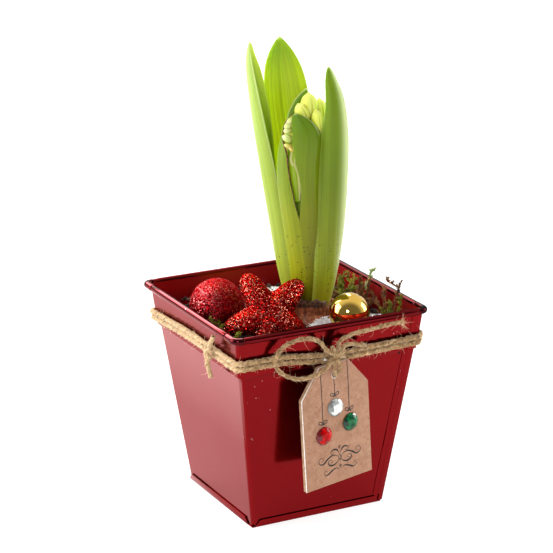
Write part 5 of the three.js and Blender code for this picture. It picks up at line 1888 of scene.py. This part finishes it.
def gift_tag():
    """Two plies of board cut with slanted shoulders and a punched hole, and the hole's lip."""
    pieces = []
    for top, bottom, bevel in PLIES:
        def thicken():
            drop = {"value": (0, 0, (bottom - top) * MM)}
            face_outward()
            bpy.ops.mesh.extrude_region_move(TRANSFORM_OT_translate=drop)
            face_outward()

        circle = bpy.ops.mesh.primitive_circle_add
        board = added(circle, vertices=len(TAG_OUTLINE), radius=1, fill_type="NGON")
        for vertex, corner in zip(board.data.vertices, TAG_OUTLINE):
            vertex.co = Vector((*corner, top)) * MM
        in_edit_mode(board, thicken)
        cylinder = bpy.ops.mesh.primitive_cylinder_add
        punch = added(cylinder, vertices=40, radius=TAG_HOLE_RADIUS * MM, depth=12 * MM)
        apply_modifier(board, "BOOLEAN", operation="DIFFERENCE", object=punch, solver="EXACT")
        bpy.data.objects.remove(punch)
        apply_modifier(board, "BEVEL", width=bevel * MM, segments=2, limit_method="ANGLE")
        coated(board, KRAFT, BOARD_EDGE, BACK_BOARD)
        for face in board.data.polygons:
            if abs(face.normal.z) < 0.5:
                face.material_index = 1 if top == 0 else 2
        pieces.append(board)
    lip = added(
        bpy.ops.mesh.primitive_torus_add, major_radius=(TAG_HOLE_RADIUS - 0.05) * MM,
        minor_radius=0.2 * MM, major_segments=40, minor_segments=8,
    )
    reshaped(lip, lambda co: Vector((co.x, co.y, co.z * 0.4)))
    board = joined("gift_tag_board", [*pieces, coated(lip, BOARD_EDGE)])
    board.data.transform(TAG_PLACE)
    settle(smooth(board, 30), ["gift_tag"])


def drawn_bow(x, y):
    """Two outlined loops and two short ends, as a pen draws a bow."""
    strokes = []
    for side in (-1, 1):
        loop = []
        for k in range(17):
            turn = 2 * math.pi * k / 16
            out = 1.5 * (1 - math.cos(turn))
            over = 1.05 * math.sin(turn) * (0.4 + 0.3 * (1 - math.cos(turn)))
            loop.append((x + side * (0.93 * out - 0.36 * over), y + 0.36 * out + 0.93 * over))
        strokes += [loop, [(x, y), (x + side * 0.5, y - 0.7), (x + side * 1.2, y - 1.0)]]
    return strokes


def flourish():
    """A symmetric ornament of scrolls and lozenges, its strokes as a pen presses them."""

    def placed(spots):
        return [(ORNAMENT[0] + x, ORNAMENT[1] + y, INK_HEIGHT) for x, y in spots]

    strokes = []
    for side in (-1, 1):
        strokes += [evenly(placed((side * x, y) for x, y in scroll), 0.4) for scroll in SCROLLS]
    for top, bottom, half in LOZENGES:
        middle = (top + bottom) / 2
        strokes.append(
            placed(((0, top), (half, middle), (0, bottom), (-half, middle), (0, top)))
        )
    lines = []
    for stroke in strokes:
        last = len(stroke) - 1
        presses = [math.sin(math.pi * clamp(1.25 * k / last)) ** 2 for k in range(last + 1)]
        lines.append((stroke, [0.4 + press for press in presses]))
    return lines


def tag_print():
    strokes = []
    for x, y, start, _ in GEMS.values():
        knot = y + GEM_RADIUS + 1.9
        strokes += [[(x, start), (x + 0.15, mix(start, knot, 0.5)), (x, knot)], *drawn_bow(x, knot)]
    even = [([(*place, INK_HEIGHT) for place in line], [1] * len(line)) for line in strokes]
    lines = tube("tag_ink_lines", even, 0.25, 4)
    swirls = tube("tag_ink_swirls", flourish(), 0.34, 4)
    ink = joined("tag_ink", [lines, swirls])
    reshaped(ink, lambda co: Vector((co.x, co.y, 0.02 * MM + co.z * 0.12)))
    ink.data.transform(TAG_PLACE)
    settle(ink, [], INK)


def gem(node, x, y, finishes):
    """A round stone with a girdle, a flat table and two rows of facets; the green one shows gold foil at
    the left of its girdle.
    """

    def facets():
        for (low, base), (high, top) in zip(FACET_ROWS, FACET_ROWS[1:]):
            rise = {"value": (0, 0, (top - base) * MM)}
            size = (high / low, high / low, 1)
            bpy.ops.mesh.extrude_region_move(TRANSFORM_OT_translate=rise)
            bpy.ops.transform.resize(value=size, center_override=(0, 0, 0))
            if 1 < top < 2.2:
                turn = math.pi / FACETS
                bpy.ops.transform.rotate(value=turn, orient_axis="Z", center_override=(0, 0, 0))
        face_outward()
        bpy.ops.mesh.quads_convert_to_tris()

    circle = bpy.ops.mesh.primitive_circle_add
    stone = added(circle, vertices=FACETS, radius=GEM_RADIUS * MM, fill_type="NGON")
    stone.name = f"{node}_stone"
    coated(in_edit_mode(stone, facets), *finishes)
    # Facets on the left and lower side take the dark finish, painted shade, and the girdle on the left
    # the third finish; one facet at the upper right takes the fourth, a painted highlight on the clear
    # and green stones
    for face in stone.data.polygons:
        height = face.center.z / MM
        turn = math.degrees(math.atan2(face.center.y, face.center.x)) % 360
        if height < 0.5:
            face.material_index = 2 if 120 < turn < 240 else 1
        elif height < 1.5:
            face.material_index = 3 if 40 < turn < 62 else int(120 < turn < 320)
        elif height < 2.2:
            face.material_index = int(150 < turn < 200 or 260 < turn < 290)
    stone.data.transform(TAG_PLACE @ at(x, y, GAP * 0.4))
    settle(stone, [node])


# Camera and studio


def aimed(piece, place, direction, roll=0.0):
    piece.location = place
    piece.rotation_mode = "QUATERNION"
    spin = Matrix.Rotation(math.radians(roll), 3, "Z").to_quaternion()
    piece.rotation_quaternion = direction.to_track_quat("-Z", "Y") @ spin


def camera():
    azimuth, elevation = math.radians(CAMERA_AZIMUTH), math.radians(CAMERA_ELEVATION)
    right = Vector((math.cos(azimuth), math.sin(azimuth), 0))
    back = Vector((math.sin(azimuth), -math.cos(azimuth), 0)) * math.cos(elevation)
    back.z = math.sin(elevation)
    data = bpy.data.cameras.new("camera")
    data.lens = CAMERA_LENS
    data.sensor_width = 36
    data.clip_start = 0.05
    data.clip_end = 20
    view = linked("camera", data)
    target = right * TARGET_RIGHT + Vector((0, 0, TARGET_HEIGHT))
    aimed(view, (target + back * CAMERA_DISTANCE) * MM, -back, CAMERA_ROLL)
    bpy.context.scene.camera = view


def studio():
    """A pale floor, a room that is dark behind the viewer, and soft lamps round the pot."""
    floor = added(bpy.ops.mesh.primitive_plane_add, size=24)
    floor.name = "floor"
    f = Finish("pale_floor", 0.4, 0.8, Emission_Color=(1, 1, 1, 1), Emission_Strength=FLOOR_GLOW)
    f.set("Base Color", f.ramp(f.noise(3, 2), (0.3, 0.39), (0.7, 0.41)))
    x, y, _ = f.axes(f.place())
    away = f.math("ADD", f.times(x, DARK_SIDE[0]), f.times(y, -DARK_SIDE[1]))
    f.set("Emission Strength", f.ramp(away, (0.04, FLOOR_GLOW), (0.3, FAR_GLOW)))
    coated(floor, f.material)
    world = bpy.data.worlds.new("studio")
    bpy.context.scene.world = world
    world.use_nodes = True
    tree = world.node_tree
    way = tree.nodes.new("ShaderNodeTexCoord")
    facing = tree.nodes.new("ShaderNodeVectorMath")
    facing.operation = "DOT_PRODUCT"
    facing.inputs[1].default_value = DARK_SIDE
    share = tree.nodes.new("ShaderNodeMapRange")
    share.inputs["From Min"].default_value = -1
    room = tree.nodes.new("ShaderNodeValToRGB")
    room.color_ramp.elements.new(0.5)
    for element, (position, value) in zip(room.color_ramp.elements, ROOM_TONES):
        element.position = position
        element.color = tone_of(value)
    for output, entry in (
        (way.outputs["Generated"], facing.inputs[0]),
        (facing.outputs["Value"], share.inputs["Value"]),
        (share.outputs["Result"], room.inputs["Fac"]),
        (room.outputs["Color"], tree.nodes["Background"].inputs["Color"]),
    ):
        tree.links.new(output, entry)
    bpy.context.scene.view_settings.view_transform = "Standard"
    for name, place, (width, height), power in LAMPS:
        data = bpy.data.lights.new(name, "AREA")
        data.shape = "RECTANGLE"
        data.size = width
        data.size_y = height
        data.energy = power
        aimed(linked(name, data), place, Vector((0, 0, 0.13)) - Vector(place))


camera()
twine_pieces()
pot_wall()
pot_base()
soil_body()
soil_crumbs()
for node, patch in SNOW_PATCHES.items():
    snow_patch(node, *patch)
for node, mat in MOSS_MATS.items():
    moss_mat(node, *mat)
bulb_body()
for node in LEAF_TONES:
    leaf_body(node)
flower_head()
ornaments()
gift_tag()
tag_print()
for node, (x, y, _, finishes) in GEMS.items():
    gem(node, x, y, finishes)
studio()
select_only()
